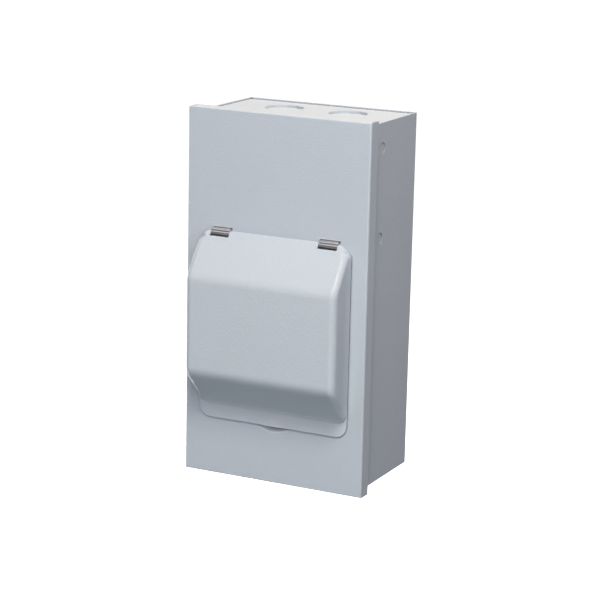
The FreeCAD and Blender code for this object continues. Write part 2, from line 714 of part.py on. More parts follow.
def make_clip(side, sign):
    """A hinge clip: it leaves its slot, bends down over the wire and has a leg inside."""
    name = f"hinge_clip_{side}"
    middle = sign * d.clip_centre
    across = (middle - d.clip_width / 2, middle + d.clip_width / 2)
    hook = cut(name + "_hook", upright_slot(name + "_outside", across, CLIP_RIM), [
        upright_slot(name + "_inside", across, CLIP_BORE),
        block(name + "_heel", across, (HINGE_OUT - 2 * CLIP_RIM, HINGE_OUT - d.clip_curl),
              (HINGE_HEIGHT - 2 * CLIP_RIM, CLIP_BEND + CLIP_BORE))])
    back = COVER_INSIDE - d.clip_sheet
    tongue = block(name + "_tongue", across, (back, HINGE_OUT), (CLIP_BEND + CLIP_BORE, d.clip_top))
    leg = block(name + "_leg", across, (back, COVER_INSIDE),
                (CLIP_BEND + CLIP_BORE, d.clip_top + d.clip_leg))
    return keep(fuse(name, [hook, tongue, leg]), name)


def upright_slot(name, across, radius):
    """A solid with round ends, from the hinge axis up to a clip's bend."""
    return fuse(name, [
        rod_across(name + "_low", radius, across, HINGE_OUT, HINGE_HEIGHT),
        rod_across(name + "_high", radius, across, HINGE_OUT, CLIP_BEND),
        block(name + "_between", across, (HINGE_OUT - radius, HINGE_OUT + radius),
              (HINGE_HEIGHT, CLIP_BEND))])


def pan_screw(name, x, z, seat, length, radius=None, head=None):
    """A pan-head screw whose head sits on a face at a distance from the wall."""
    radius = radius or d.screw_radius
    head = head or d.screw_head_radius
    shank = rod_out(name + "_shank", radius, x, z, (seat - length, seat))
    cap = rod_out(name + "_head", head, x, z, (seat, seat + d.screw_head_depth))
    screw = fuse(name + "_body", [shank, cap])
    slot_out = (seat + d.screw_head_depth / 2, seat + d.screw_head_depth)
    reach = head * DRIVE_SHARE
    half = d.cross_slot / 2
    slots = [block(name + "_slot_x", (x - reach, x + reach), slot_out, (z - half, z + half)),
             block(name + "_slot_z", (x - half, x + half), slot_out, (z - reach, z + reach))]
    return cut(name, screw, slots)


def make_cover_screws():
    """Two captive screws beside the window, hidden by the flap."""
    screws = [pan_screw(f"cover_screw_{index}", sign * d.post_spacing / 2, d.module_height,
                        d.box_depth, d.cover_screw_length)
              for index, sign in enumerate((-1, 1))]
    return keep(group("cover_screws", screws), "cover_screws")


# ---------------------------------------------------------------- rail and posts

def make_rail():
    """A top-hat DIN rail, 35 by 7.5 mm, with two screw holes."""
    body = new_body("din_rail")
    brim = d.rail_width / 2
    wall = d.rail_channel / 2
    front, web = -d.rail_out, -RAIL_WEB
    flat = d.rail_sheet
    corners = [(front, brim), (front + flat, brim), (front + flat, wall), (web, wall),
               (web, -wall), (front + flat, -wall), (front + flat, -brim), (front, -brim),
               (front, flat - wall), (web - flat, flat - wall), (web - flat, wall - flat),
               (front, wall - flat)]
    corners = [(across, up + d.module_height) for across, up in corners]
    pad(body, polygon(body, "rail_section", "YZ_Plane", corners), d.rail_length, middle=True)
    places = [(sign * d.standoff_spacing / 2, d.module_height) for sign in (-1, 1)]
    pocket(body, circles(body, "rail_holes", "XZ_Plane", d.screw_radius + d.screw_clearance,
                         places, RAIL_WEB), d.rail_sheet)
    return keep(body, "din_rail")


def tapped_post(name, radius, x, out, depth):
    """A round steel post on the back sheet with a tapped hole in its outer end."""
    post = rod_out(name + "_blank", radius, x, d.module_height, out)
    hole = rod_out(name + "_thread", d.thread_radius, x, d.module_height, (out[1] - depth, out[1]))
    return cut(name, post, [hole])


def make_standoffs():
    """Two posts that carry the rail."""
    posts = [tapped_post(f"rail_standoff_{index}", d.standoff_radius,
                         sign * d.standoff_spacing / 2, (d.sheet, RAIL_WEB), d.standoff_thread)
             for index, sign in enumerate((-1, 1))]
    return keep(group("rail_standoffs", posts), "rail_standoffs")


def make_rail_screws():
    """The screws that hold the rail on its standoffs."""
    screws = [pan_screw(f"rail_screw_{index}", sign * d.standoff_spacing / 2, d.module_height,
                        RAIL_WEB + d.rail_sheet, d.rail_screw_length)
              for index, sign in enumerate((-1, 1))]
    return keep(group("rail_screws", screws), "rail_screws")


def make_posts():
    """Two tall posts that take the cover screws."""
    posts = [tapped_post(f"cover_post_{index}", d.post_radius, sign * d.post_spacing / 2,
                         (d.sheet, BODY_FRONT), d.post_thread)
             for index, sign in enumerate((-1, 1))]
    return keep(group("cover_posts", posts), "cover_posts")


# ---------------------------------------------------------------- switch and breakers

def pole_places(left, poles):
    """The middle of each pole of a device that starts at a place across."""
    return [left + (index + 0.5) * d.module for index in range(poles)]


def terminal_levels(sign):
    """Heights of a device's upper or lower end and of the bottom of its terminal mouth."""
    end = d.module_height + sign * d.housing_height / 2
    bottom = end - sign * d.terminal_depth
    return (bottom, end) if sign > 0 else (end, bottom)


def terminal_middle(sign):
    """Height of the middle of a box clamp."""
    return d.module_height + sign * (d.housing_height / 2 - d.terminal_depth / 2)


def make_housing(name, left, poles):
    """A moulded device body: shoulders, nose, rail notch, terminals and toggle recess."""
    x = (left + d.module_slack, left + poles * d.module - d.module_slack)
    middle = left + poles * d.module / 2
    level = d.module_height
    half = d.housing_height / 2
    blank = fuse(name + "_blank", [
        block(name + "_base", x, (d.housing_back, d.shoulder_out), (level - half, level + half)),
        block(name + "_nose", x, (d.shoulder_out, d.nose_out),
              (level - d.nose_height / 2, level + d.nose_height / 2))])
    brim = d.rail_width / 2
    grip = brim - d.hook_reach
    behind_brim = d.rail_out - d.rail_sheet - d.rail_slack
    latch_x = (middle - d.latch_width / 2 - d.latch_slack, middle + d.latch_width / 2 + d.latch_slack)
    latch_out = (behind_brim - d.latch_sheet - d.latch_slack, behind_brim + d.latch_slack)
    tools = [
        block(name + "_notch", x, (d.housing_back, d.rail_out),
              (level - brim - d.rail_slack, level + grip)),
        block(name + "_groove", x, (behind_brim, d.rail_out),
              (level + grip, level + brim + d.rail_slack)),
        block(name + "_latch_way", latch_x, latch_out, (level - half, level - brim)),
        rod_across(name + "_toggle_way", d.toggle_barrel + d.toggle_slack,
                   toggle_span(left, poles, d.toggle_slack), d.toggle_out, level),
        block(name + "_lever_way", toggle_span(left, poles, d.toggle_slack),
              (d.nose_out - d.lever_way_depth, d.nose_out),
              (level - d.lever_way_reach, level + d.lever_way_reach)),
    ]
    for pole, place in enumerate(pole_places(left, poles)):
        for sign in (-1, 1):
            mouth = (place - d.terminal_width / 2, place + d.terminal_width / 2)
            mouth_out = (d.terminal_out - d.terminal_width / 2, d.terminal_out + d.terminal_width / 2)
            tools.append(block(f"{name}_mouth_{pole}_{sign + 1}", mouth, mouth_out,
                               terminal_levels(sign)))
            tools.append(rod_out(f"{name}_screw_way_{pole}_{sign + 1}",
                                 d.terminal_screw_radius + d.terminal_screw_slack, place,
                                 terminal_middle(sign), (d.terminal_out, d.shoulder_out)))
    return keep(cut(name, blank, tools), name)


def toggle_span(left, poles, slack=0):
    """Limits across of a device's toggle."""
    middle = left + poles * d.module / 2
    half = (poles * d.module - d.toggle_margin) / 2
    return middle - half - slack, middle + half + slack


def make_toggle(name, left, poles):
    """A toggle: a barrel on its pivot and a lever that points up when the device is on."""
    across = toggle_span(left, poles)
    barrel = rod_across(name + "_barrel", d.toggle_barrel, across, d.toggle_out, d.module_height)
    lever = doc.addObject("Part::Box", name + "_lever")
    bind(lever, "Length", across[1] - across[0])
    bind(lever, "Width", d.toggle_reach)
    bind(lever, "Height", d.toggle_lever)
    lift = math.radians(TOGGLE_LIFT)
    lever.Placement = Placement(Vector(), Rotation(Vector(1, 0, 0), -TOGGLE_LIFT))
    half = d.toggle_lever / 2
    bind(lever, "Placement.Base.x", across[0])
    bind(lever, "Placement.Base.y",
         -d.toggle_out - d.toggle_reach * math.cos(lift) - half * math.sin(lift))
    bind(lever, "Placement.Base.z",
         d.module_height + d.toggle_reach * math.sin(lift) - half * math.cos(lift))
    whole = fuse(name + "_whole", [barrel, lever])
    back = block(name + "_flat", across,
                 (d.toggle_out - d.toggle_barrel, d.toggle_out - d.toggle_flat),
                 (d.module_height - d.toggle_barrel, d.module_height + d.toggle_barrel))
    return keep(cut(name, whole, [back]), name)


def make_latch(name, left, poles):
    """The sprung slide that grips the rail's lower brim, with a slot for a screwdriver."""
    middle = left + poles * d.module / 2
    across = (middle - d.latch_width / 2, middle + d.latch_width / 2)
    near_out = d.rail_out - d.rail_sheet - d.rail_slack - d.latch_sheet
    bottom = d.module_height - d.housing_height / 2 - d.latch_tail
    top = d.module_height - d.rail_width / 2 + d.hook_reach
    plate = block(name + "_plate", across, (near_out, near_out + d.latch_sheet), (bottom, top))
    half = d.latch_slot_width / 2
    slot_bottom = bottom + d.latch_slot_margin
    slot = block(name + "_slot", (middle - half, middle + half),
                 (near_out, near_out + d.latch_sheet),
                 (slot_bottom, slot_bottom + d.latch_slot_height))
    return keep(cut(name, plate, [slot]), name)


def make_clamps(name, left, poles):
    """Box clamps inside a device's terminals."""
    clamps = []
    half = d.clamp_size / 2
    for pole, place in enumerate(pole_places(left, poles)):
        for sign in (-1, 1):
            level = terminal_middle(sign)
            part = f"{name}_{pole}_{sign + 1}"
            cage = block(part + "_cage", (place - half, place + half),
                         (d.terminal_out - half, d.terminal_out + half),
                         (level - half, level + half))
            gap = half - d.clamp_wall
            mouth = block(part + "_mouth", (place - gap, place + gap),
                          (d.terminal_out - gap, d.terminal_out + gap),
                          (level - half, level + half))
            thread = rod_out(part + "_thread", d.thread_radius, place, level,
                             (d.terminal_out, d.terminal_out + half))
            clamps.append(cut(part, cage, [mouth, thread]))
    return keep(group(name, clamps), name)


def make_terminal_screws(name, left, poles):
    """The screws that close the box clamps."""
    seat = d.terminal_out + d.clamp_size / 2
    screws = [pan_screw(f"{name}_{pole}_{sign + 1}", place, terminal_middle(sign), seat,
                        d.clamp_screw_length, head=d.terminal_screw_radius)
              for pole, place in enumerate(pole_places(left, poles)) for sign in (-1, 1)]
    return keep(group(name, screws), name)


def make_device(name, start, poles):
    """A switch or breaker on the rail, starting a number of modules from the middle."""
    left = start * d.module
    make_housing(name + "_housing", left, poles)
    make_toggle(name + "_toggle", left, poles)
    make_latch(name + "_latch", left, poles)
    make_clamps(name + "_clamps", left, poles)
    make_terminal_screws(name + "_terminal_screws", left, poles)


def make_busbar():
    """A comb of copper that feeds both breakers from the switch, in an insulating trough."""
    places = [(index + 0.5) * d.module for index in (-1, 0, 1)]
    device_end = d.module_height - d.housing_height / 2
    low = device_end - d.busbar_drop
    high = low + d.busbar_height
    thick = (d.terminal_out - d.busbar_sheet / 2, d.terminal_out + d.busbar_sheet / 2)
    ends = (places[0] - d.strip_overhang, places[2] + d.strip_overhang)
    half = d.prong_width / 2
    bar = block("busbar_strip", ends, thick, (low, high))
    prongs = [block(f"busbar_prong_{index}", (place - half, place + half), thick,
                    (high, device_end + d.prong_reach))
              for index, place in enumerate(places)]
    keep(fuse("busbar_comb", [bar] + prongs), "busbar_comb")
    wall = d.trough_wall
    rim = device_end - wall
    trough = block("busbar_trough_blank", (ends[0] - wall, ends[1] + wall),
                   (thick[0] - wall, thick[1] + wall), (low - wall, rim))
    channel = block("busbar_channel", ends, thick, (low, rim))
    keep(cut("busbar_trough", trough, [channel]), "busbar_trough")


# ---------------------------------------------------------------- neutral and earth

def make_bar(name, level, count):
    """A brass terminal bar with a wire hole and a screw for each conductor."""
    length = count * d.bar_pitch
    half = d.bar_size / 2
    front = d.bar_out + d.bar_size
    bar = block(name + "_blank", (-length / 2, length / 2), (d.bar_out, front),
                (level - half, level + half))
    places = [(index - (count - 1) / 2) * d.bar_pitch for index in range(count)]
    tools = []
    screws = []
    for index, place in enumerate(places):
        tools.append(rod_up(f"{name}_wire_hole_{index}", d.bar_wire_radius, place,
                            d.bar_out + half - d.bar_wire_shift, (level - half, level + half)))
        tools.append(rod_out(f"{name}_thread_{index}", d.thread_radius, place, level,
                             (d.bar_out + half, front)))
        screws.append(pan_screw(f"{name}_screw_{index}", place, level, front,
                                d.clamp_screw_length, head=d.bar_screw_head))
    keep(cut(name, bar, tools), name)
    keep(group(name + "_screws", screws), name + "_screws")


def make_neutral():
    """The neutral bar on an insulating holder."""
    make_bar("neutral_bar", d.neutral_height, NEUTRAL_WAYS)
    bar_half = d.bar_size / 2
    half = bar_half + d.holder_margin
    level = (d.neutral_height - half, d.neutral_height + half)
    foot_out = d.sheet + d.holder_foot
    length = d.holder_length / 2
    pieces = [block("holder_foot", (-length, length), (d.sheet, foot_out), level)]
    bar_end = NEUTRAL_WAYS * d.bar_pitch / 2 + d.holder_end_gap
    for side, sign in (("left", -1), ("right", 1)):
        leg = sign * d.holder_leg_spacing / 2
        pieces.append(block(f"holder_leg_{side}",
                            (leg - d.holder_leg_width / 2, leg + d.holder_leg_width / 2),
                            (foot_out, d.bar_out),
                            (d.neutral_height - bar_half, d.neutral_height + bar_half)))
        end = sorted((sign * bar_end, sign * length), key=lambda size: size.value)
        pieces.append(block(f"holder_end_{side}", end,
                            (foot_out, d.bar_out + d.holder_end_rise), level))
    keep(fuse("neutral_bar_holder", pieces), "neutral_bar_holder")


def make_earth():
    """The earth bar on two metal spacers, and the body's earth stud with its nut."""
    make_bar("earth_bar", d.earth_height, EARTH_WAYS)
    spacers = [rod_out(f"earth_spacer_{index}", d.spacer_radius, sign * d.spacer_spacing / 2,
                       d.earth_height, (d.sheet, d.bar_out))
               for index, sign in enumerate((-1, 1))]
    keep(group("earth_bar_spacers", spacers), "earth_bar_spacers")
    stud_x, stud_z = d.post_spacing / 2, d.earth_height
    keep(rod_out("earth_stud", d.stud_radius, stud_x, stud_z, (d.sheet, d.stud_end)), "earth_stud")
    seat = d.sheet + d.washer_height
    flats = doc.addObject("Part::Prism", "earth_nut_blank")
    flats.Polygon = 6
    bind(flats, "Circumradius", d.nut_radius)
    bind(flats, "Height", d.nut_height)
    flats.Placement = Placement(Vector(), Rotation(Vector(1, 0, 0), 90))
    bind(flats, "Placement.Base.x", stud_x)
    bind(flats, "Placement.Base.y", -seat)
    bind(flats, "Placement.Base.z", stud_z)
    washer = rod_out("earth_washer", d.washer_radius, stud_x, stud_z, (d.sheet, seat))
    hole = rod_out("earth_nut_hole", d.stud_radius, stud_x, stud_z,
                   (d.sheet, seat + d.nut_height))
    keep(cut("earth_nut", fuse("earth_nut_whole", [flats, washer]), [hole]), "earth_nut")


# ---------------------------------------------------------------- build, check and write

def build():
    """Makes every piece."""
    make_wrap()
    for name, sign in (("top_plate", 1), ("bottom_plate", -1)):
        make_end(name, sign)
    for end, sign in (("top", 1), ("bottom", -1)):
        for side, place in (("left", -1), ("right", 1)):
            make_knockout(f"knockout_{end}_{side}", place, sign)
    make_cover()
    make_door()
    make_door_pin()
    make_clip("left", -1)
    make_clip("right", 1)
    make_cover_screws()
    make_rail()
    make_standoffs()
    make_rail_screws()
    make_posts()
    make_device("main_switch", -2, 2)
    make_device("breaker_a", 0, 1)
    make_device("breaker_b", 1, 1)
    make_busbar()
    make_neutral()
    make_earth()
    doc.recompute()


def check():
    """Stops if any object failed or a piece has no valid solid."""
    for item in doc.Objects:
        if "Invalid" in item.State or "Error" in item.State:
            raise RuntimeError(f"{item.Label} failed: {item.State}")
    for item in nodes:
        if item.Shape.isNull() or not item.Shape.isValid() or not item.Shape.Solids:
            raise RuntimeError(f"{item.Label} has no valid solid")


def write():
    """One STEP file for each piece."""
    os.makedirs("parts", exist_ok=True)
    for item in nodes:
        item.Shape.exportStep(f"parts/{item.Label}.step")


build()
check()
write()
print(f"{len(nodes)} pieces written")
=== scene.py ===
"""Looks of the AC disconnect box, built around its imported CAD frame.

Metres, +Z up. The wall is at y = 0 and the front of the box faces -Y; "out" is the distance from
the wall, so y = -out.
"""
import json
import math

import bmesh
import bpy
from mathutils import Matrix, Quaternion, Vector
from mathutils.geometry import delaunay_2d_cdt


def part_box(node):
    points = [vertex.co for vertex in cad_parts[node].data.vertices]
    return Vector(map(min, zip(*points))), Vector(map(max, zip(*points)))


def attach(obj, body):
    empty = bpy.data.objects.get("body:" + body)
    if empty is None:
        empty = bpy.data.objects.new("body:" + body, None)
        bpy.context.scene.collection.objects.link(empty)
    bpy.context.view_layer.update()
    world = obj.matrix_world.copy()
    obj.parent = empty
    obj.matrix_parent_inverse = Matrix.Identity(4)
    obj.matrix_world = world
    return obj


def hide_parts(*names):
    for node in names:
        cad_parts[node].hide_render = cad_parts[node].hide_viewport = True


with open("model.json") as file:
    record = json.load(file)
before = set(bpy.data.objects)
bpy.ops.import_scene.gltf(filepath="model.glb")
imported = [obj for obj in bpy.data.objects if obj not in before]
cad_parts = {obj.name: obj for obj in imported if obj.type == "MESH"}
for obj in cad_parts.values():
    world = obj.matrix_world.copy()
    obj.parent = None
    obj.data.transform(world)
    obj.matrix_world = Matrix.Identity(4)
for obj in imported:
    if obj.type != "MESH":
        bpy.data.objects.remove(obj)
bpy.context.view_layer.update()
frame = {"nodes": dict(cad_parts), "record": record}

MM = 0.001
SHEET = 1.0 * MM

# Sizes of the CAD nodes that the visual pieces replace or fit.
COVER_LOW, COVER_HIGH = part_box("front_cover")
COVER_FRONT = -COVER_LOW.y
COVER_HALF_WIDTH = COVER_HIGH.x
COVER_HALF_HEIGHT = COVER_HIGH.z
RIM_BACK = -COVER_HIGH.y
DOOR_LOW, DOOR_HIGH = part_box("door_flap")
PIN_LOW, PIN_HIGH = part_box("door_pin")
PIN_RADIUS = (PIN_HIGH.z - PIN_LOW.z) / 2
PIN_HEIGHT = (PIN_HIGH.z + PIN_LOW.z) / 2
PIN_OUT = -(PIN_HIGH.y + PIN_LOW.y) / 2
CLIP_LOW, CLIP_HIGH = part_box("hinge_clip_right")
CLIP_CENTRE = (CLIP_LOW.x + CLIP_HIGH.x) / 2
CLIP_WIDTH = CLIP_HIGH.x - CLIP_LOW.x


# ---------------------------------------------------------------- camera, light and floor

CAMERA_AZIMUTH = 26.42
CAMERA_ELEVATION = 13.35
CAMERA_ROLL = 1.28
CAMERA_DISTANCE = 1.3967
CAMERA_AIM = Vector((-0.00135, -0.0390, -0.00657))
CAMERA_LENS = 127.75
SENSOR_WIDTH = 36.0

# The floor's half width, and its drop below the cover.
FLOOR_REACH = 30.0
FLOOR_DROP = 0.30
WHITE = (1.0, 1.0, 1.0)


def add_object(name, data):
    """A new object in the scene that shows some data."""
    item = bpy.data.objects.new(name, data)
    bpy.context.scene.collection.objects.link(item)
    return item


def make_camera():
    """A long lens to the right of the box and a little above it, turned by a slight roll."""
    azimuth, elevation = math.radians(CAMERA_AZIMUTH), math.radians(CAMERA_ELEVATION)
    back = Vector((math.sin(azimuth) * math.cos(elevation),
                   -math.cos(azimuth) * math.cos(elevation), math.sin(elevation)))
    data = bpy.data.cameras.new("camera")
    data.lens = CAMERA_LENS
    data.sensor_width = SENSOR_WIDTH
    data.clip_start, data.clip_end = 0.05, 50
    camera = add_object("camera", data)
    camera.location = CAMERA_AIM + back * CAMERA_DISTANCE
    facing = (-back).to_track_quat("-Z", "Y")
    camera.rotation_mode = "QUATERNION"
    camera.rotation_quaternion = facing @ Quaternion((0, 0, 1), math.radians(CAMERA_ROLL))
    bpy.context.scene.camera = camera


def area_light(name, place, aim, size, power, colour):
    """A soft rectangular light that looks at a point."""
    data = bpy.data.lights.new(name, "AREA")
    data.shape = "RECTANGLE"
    data.size, data.size_y = size
    data.energy = power
    data.color = colour
    light = add_object(name, data)
    light.location = place
    light.rotation_mode = "QUATERNION"
    light.rotation_quaternion = (Vector(aim) - Vector(place)).to_track_quat("-Z", "Y")
    return light


def make_light():
    """A key light high at the front right, one high behind, weaker ones round the front and below,
    and a glow from the left rear that shows only in reflections."""
    middle = (0, -0.05, 0)
    area_light("key", (0.45, -0.90, 1.30), middle, (0.45, 0.45), 19, (1.0, 0.985, 0.905))
    area_light("over_back", (0.2, 0.9, 1.3), middle, (1.4, 0.8), 27, (1.0, 0.873, 0.743))
    area_light("front_up", (0.6, -1.9, 1.0), middle, (1.0, 1.0), 5, (1.0, 0.71, 0.24))
    area_light("front", (0.5, -2.2, 0.3), middle, (1.6, 1.6), 2, WHITE)
    area_light("front_right", (1.3, -1.6, 0.7), middle, (1.5, 1.5), 16, (0.767, 0.832, 1.0))
    area_light("left_up", (-0.9, -1.3, 1.1), middle, (0.8, 0.8), 5, (0.72, 0.77, 1.0))
    area_light("low_front", (0.3, -1.4, -1.2), middle, (1.2, 1.2), 7.8, (0.87, 0.98, 1.0))
    glow = area_light("backdrop_glow", (-1.6, 0.9, -0.2), middle, (1.6, 3.0), 55, WHITE)
    glow.visible_diffuse = False


def make_world():
    """A faint blue surround that the camera itself sees as white."""
    world = bpy.data.worlds.new("surround")
    bpy.context.scene.world = world
    world.use_nodes = True
    tree = world.node_tree
    faint = tree.nodes["Background"]
    faint.inputs["Color"].default_value = (0.5, 0.5, 1.0, 1)
    faint.inputs["Strength"].default_value = 0.02
    horizon = tree.nodes.new("ShaderNodeBackground")
    horizon.inputs["Color"].default_value = (*WHITE, 1)
    horizon.inputs["Strength"].default_value = 1.0
    seen = tree.nodes.new("ShaderNodeLightPath").outputs["Is Camera Ray"]
    mix = tree.nodes.new("ShaderNodeMixShader")
    tree.links.new(seen, mix.inputs["Fac"])
    tree.links.new(faint.outputs["Background"], mix.inputs[1])
    tree.links.new(horizon.outputs["Background"], mix.inputs[2])
    tree.links.new(mix.outputs["Shader"], tree.nodes["World Output"].inputs["Surface"])
    bpy.context.scene.view_settings.view_transform = "Standard"


def make_floor():
    """A plain white floor well below the box, which throws no light back up at it."""
    mesh = bpy.data.meshes.new("floor")
    level = COVER_LOW.z - FLOOR_DROP
    signs = ((-1, -1), (1, -1), (1, 1), (-1, 1))
    corners = [(FLOOR_REACH * sx, FLOOR_REACH * sy, level) for sx, sy in signs]
    mesh.from_pydata(corners, [], [(0, 1, 2, 3)])
    floor = add_object("floor", mesh)
    material = bpy.data.materials.new("floor_white")
    material.use_nodes = True
    shader = material.node_tree.nodes["Principled BSDF"]
    shader.inputs["Base Color"].default_value = (0.9, 0.9, 0.9, 1)
    shader.inputs["Roughness"].default_value = 0.9
    shader.inputs["Emission Color"].default_value = (*WHITE, 1)
    shader.inputs["Emission Strength"].default_value = 1.02
    mesh.materials.append(material)
    floor.visible_diffuse = False
    floor.visible_glossy = False
    floor.visible_shadow = False


# ---------------------------------------------------------------- materials

BOX_COLOUR = (0.555, 0.60, 0.66)
FLAP_COLOUR = (0.577, 0.622, 0.674)

# The Mix node has its colour sockets at these places.
MIX_COLOURS = (6, 7)
MIX_RESULT = 2

# Painted crevice shade fades out over a stretch below a height, but only at the front: wholly
# where the distance from the wall is over SHADE_FRONT, and not at all where it is under
# SHADE_BACK.
SHADE_FADE = 6 * MM
SHADE_FRONT = 60 * MM
SHADE_BACK = 58 * MM


class Nodes:
    """Short names for building a material's node tree."""

    def __init__(self, name):
        self.material = bpy.data.materials.new(name)
        self.material.use_nodes = True
        self.tree = self.material.node_tree
        self.shader = self.tree.nodes["Principled BSDF"]
        self.place = self.tree.nodes.new("ShaderNodeTexCoord").outputs["Object"]

    def link(self, source, target):
        self.tree.links.new(source, target)

    def noise(self, scale, detail=2.0, roughness=0.5, stretch=(1, 1, 1)):
        """Noise with a number of features per metre, stretched along the axes."""
        mapping = self.tree.nodes.new("ShaderNodeMapping")
        mapping.inputs["Scale"].default_value = stretch
        self.link(self.place, mapping.inputs["Vector"])
        noise = self.tree.nodes.new("ShaderNodeTexNoise")
        noise.inputs["Scale"].default_value = scale
        noise.inputs["Detail"].default_value = detail
        noise.inputs["Roughness"].default_value = roughness
        self.link(mapping.outputs["Vector"], noise.inputs["Vector"])
        return noise.outputs["Fac"]

    def remap(self, source, low, high, start=0.3, end=0.7):
        """A value moved from its own range to another."""
        node = self.tree.nodes.new("ShaderNodeMapRange")
        node.inputs["From Min"].default_value = start
        node.inputs["From Max"].default_value = end
        node.inputs["To Min"].default_value = low
        node.inputs["To Max"].default_value = high
        self.link(source, node.inputs["Value"])
        return node.outputs["Result"]

    def blend(self, factor, first, second):
        """A colour between two, by a factor. Each is a fixed colour or another node's."""
        node = self.tree.nodes.new("ShaderNodeMix")
        node.data_type = "RGBA"
        self.link(factor, node.inputs["Factor"])
        for socket, colour in zip(MIX_COLOURS, (first, second)):
            if isinstance(colour, tuple):
                node.inputs[socket].default_value = (*colour, 1)
            else:
                self.link(colour, node.inputs[socket])
        return node.outputs[MIX_RESULT]

    def bump(self, height, strength, distance, under=None):
        """A bump from a height, over an earlier one if there is one."""
        node = self.tree.nodes.new("ShaderNodeBump")
        node.inputs["Strength"].default_value = strength
        node.inputs["Distance"].default_value = distance
        self.link(height, node.inputs["Height"])
        if under is not None:
            self.link(under, node.inputs["Normal"])
        return node.outputs["Normal"]

    def painted_crevice_shade(self, reach, low, high, top):
        """Mask of painted shade: 0 in crevices narrower than a reach, where shade is painted, 1 in
        the open, and 1 at the front above a height.

        Low and high are the shares of open sky at which it is 0 and 1.
        """
        node = self.tree.nodes.new("ShaderNodeAmbientOcclusion")
        node.samples = 8
        node.inputs["Distance"].default_value = reach
        unshaded_share = self.remap(node.outputs["AO"], 0, 1, low, high)
        split = self.tree.nodes.new("ShaderNodeSeparateXYZ")
        self.link(self.place, split.inputs["Vector"])
        above = self.remap(split.outputs["Z"], 0, 1, top - SHADE_FADE, top)
        ahead = self.remap(split.outputs["Y"], 1, 0, -SHADE_FRONT, -SHADE_BACK)
        return self.combine("MAXIMUM", unshaded_share, self.combine("MULTIPLY", above, ahead))

    def combine(self, operation, first, second):
        """One value from two, by a named operation."""
        node = self.tree.nodes.new("ShaderNodeMath")
        node.operation = operation
        self.link(first, node.inputs[0])
        self.link(second, node.inputs[1])
        return node.outputs["Value"]

    def set(self, **values):
        """Shader sockets that are the same all over."""
        for name, value in values.items():
            self.shader.inputs[name.replace("_", " ")].default_value = value

    def feed(self, **sources):
        """Shader sockets that follow other nodes."""
        for name, source in sources.items():
            self.link(source, self.shader.inputs[name.replace("_", " ")])


def tinted(colour, *factors):
    """A colour with its channels scaled by one factor or by one each, up to full brightness."""
    if len(factors) == 1:
        factors = factors * 3
    return tuple(min(1, channel * factor) for channel, factor in zip(colour, factors))


def powder_coat(name, colour, roughness, peel, shine, gleam=0.30, top=PIN_HEIGHT - 4 * MM,
                reach=2.0 * MM):
    """Powder coat: orange peel, grain, a drift of colour and gloss, and painted shade in crevices.

    Shine is the weight of the clear coat and gleam the specular level below it. Crevices narrower
    than reach get painted shade, but at the front only below the height top.
    """
    nodes = Nodes(name)
    tint = nodes.blend(nodes.noise(9, detail=3), tinted(colour, 0.97), tinted(colour, 1.03))
    grain = nodes.noise(1500, detail=2.5, roughness=0.6)
    speck = nodes.remap(grain, 0, 0.5)
    skin = nodes.blend(speck, tint, tinted(colour, 0.88))
    normal = nodes.bump(nodes.noise(1000), peel, 0.4 * MM)
    normal = nodes.bump(grain, peel, 0.1 * MM, normal)
    gloss = nodes.remap(nodes.noise(40, detail=3), roughness - 0.03, roughness + 0.04,
                        start=0.2, end=0.8)
    # Painted shade: in crevices the colour is darkened toward a dark copy of itself, by an
    # occlusion mask.
    unshaded_share = nodes.painted_crevice_shade(reach, low=0.30, high=0.80, top=top)
    shaded = nodes.blend(unshaded_share, tinted(colour, 0.14), skin)
    nodes.feed(Base_Color=shaded, Roughness=gloss, Normal=normal, Coat_Normal=normal)
    nodes.set(Specular_IOR_Level=gleam, Coat_Weight=shine, Coat_Roughness=0.04)
    return nodes.material


def plated_steel(name, colour, roughness, grain=(1, 1, 1)):
    """Plated steel with drawn lines, a patchy tint and fine scratches."""
    nodes = Nodes(name)
    patch = nodes.remap(nodes.noise(120, detail=4), 0, 1)
    tint = nodes.blend(patch, tinted(colour, 1.05, 1.0, 0.93), tinted(colour, 0.94, 0.98, 1.05))
    normal = nodes.bump(nodes.noise(2500, stretch=grain), 0.12, 0.05 * MM)
    scratches = nodes.noise(600, detail=3, stretch=grain)
    gloss = nodes.remap(scratches, roughness - 0.05, roughness + 0.08)
    nodes.feed(Base_Color=tint, Roughness=gloss, Normal=normal)
    nodes.set(Metallic=1.0)
    return nodes.material


def moulded_plastic(name, colour, roughness):
    """Moulded plastic with spark-eroded grain and slight flow marks."""
    nodes = Nodes(name)
    flow = nodes.remap(nodes.noise(45, detail=3, stretch=(1, 1, 0.4)), 0, 1)
    tint = nodes.blend(flow, tinted(colour, 0.95), tinted(colour, 1.04))
    normal = nodes.bump(nodes.noise(3200), 0.25, 0.06 * MM)
    gloss = nodes.remap(nodes.noise(300), roughness - 0.04, roughness + 0.05)
    nodes.feed(Base_Color=tint, Roughness=gloss, Normal=normal)
    return nodes.material


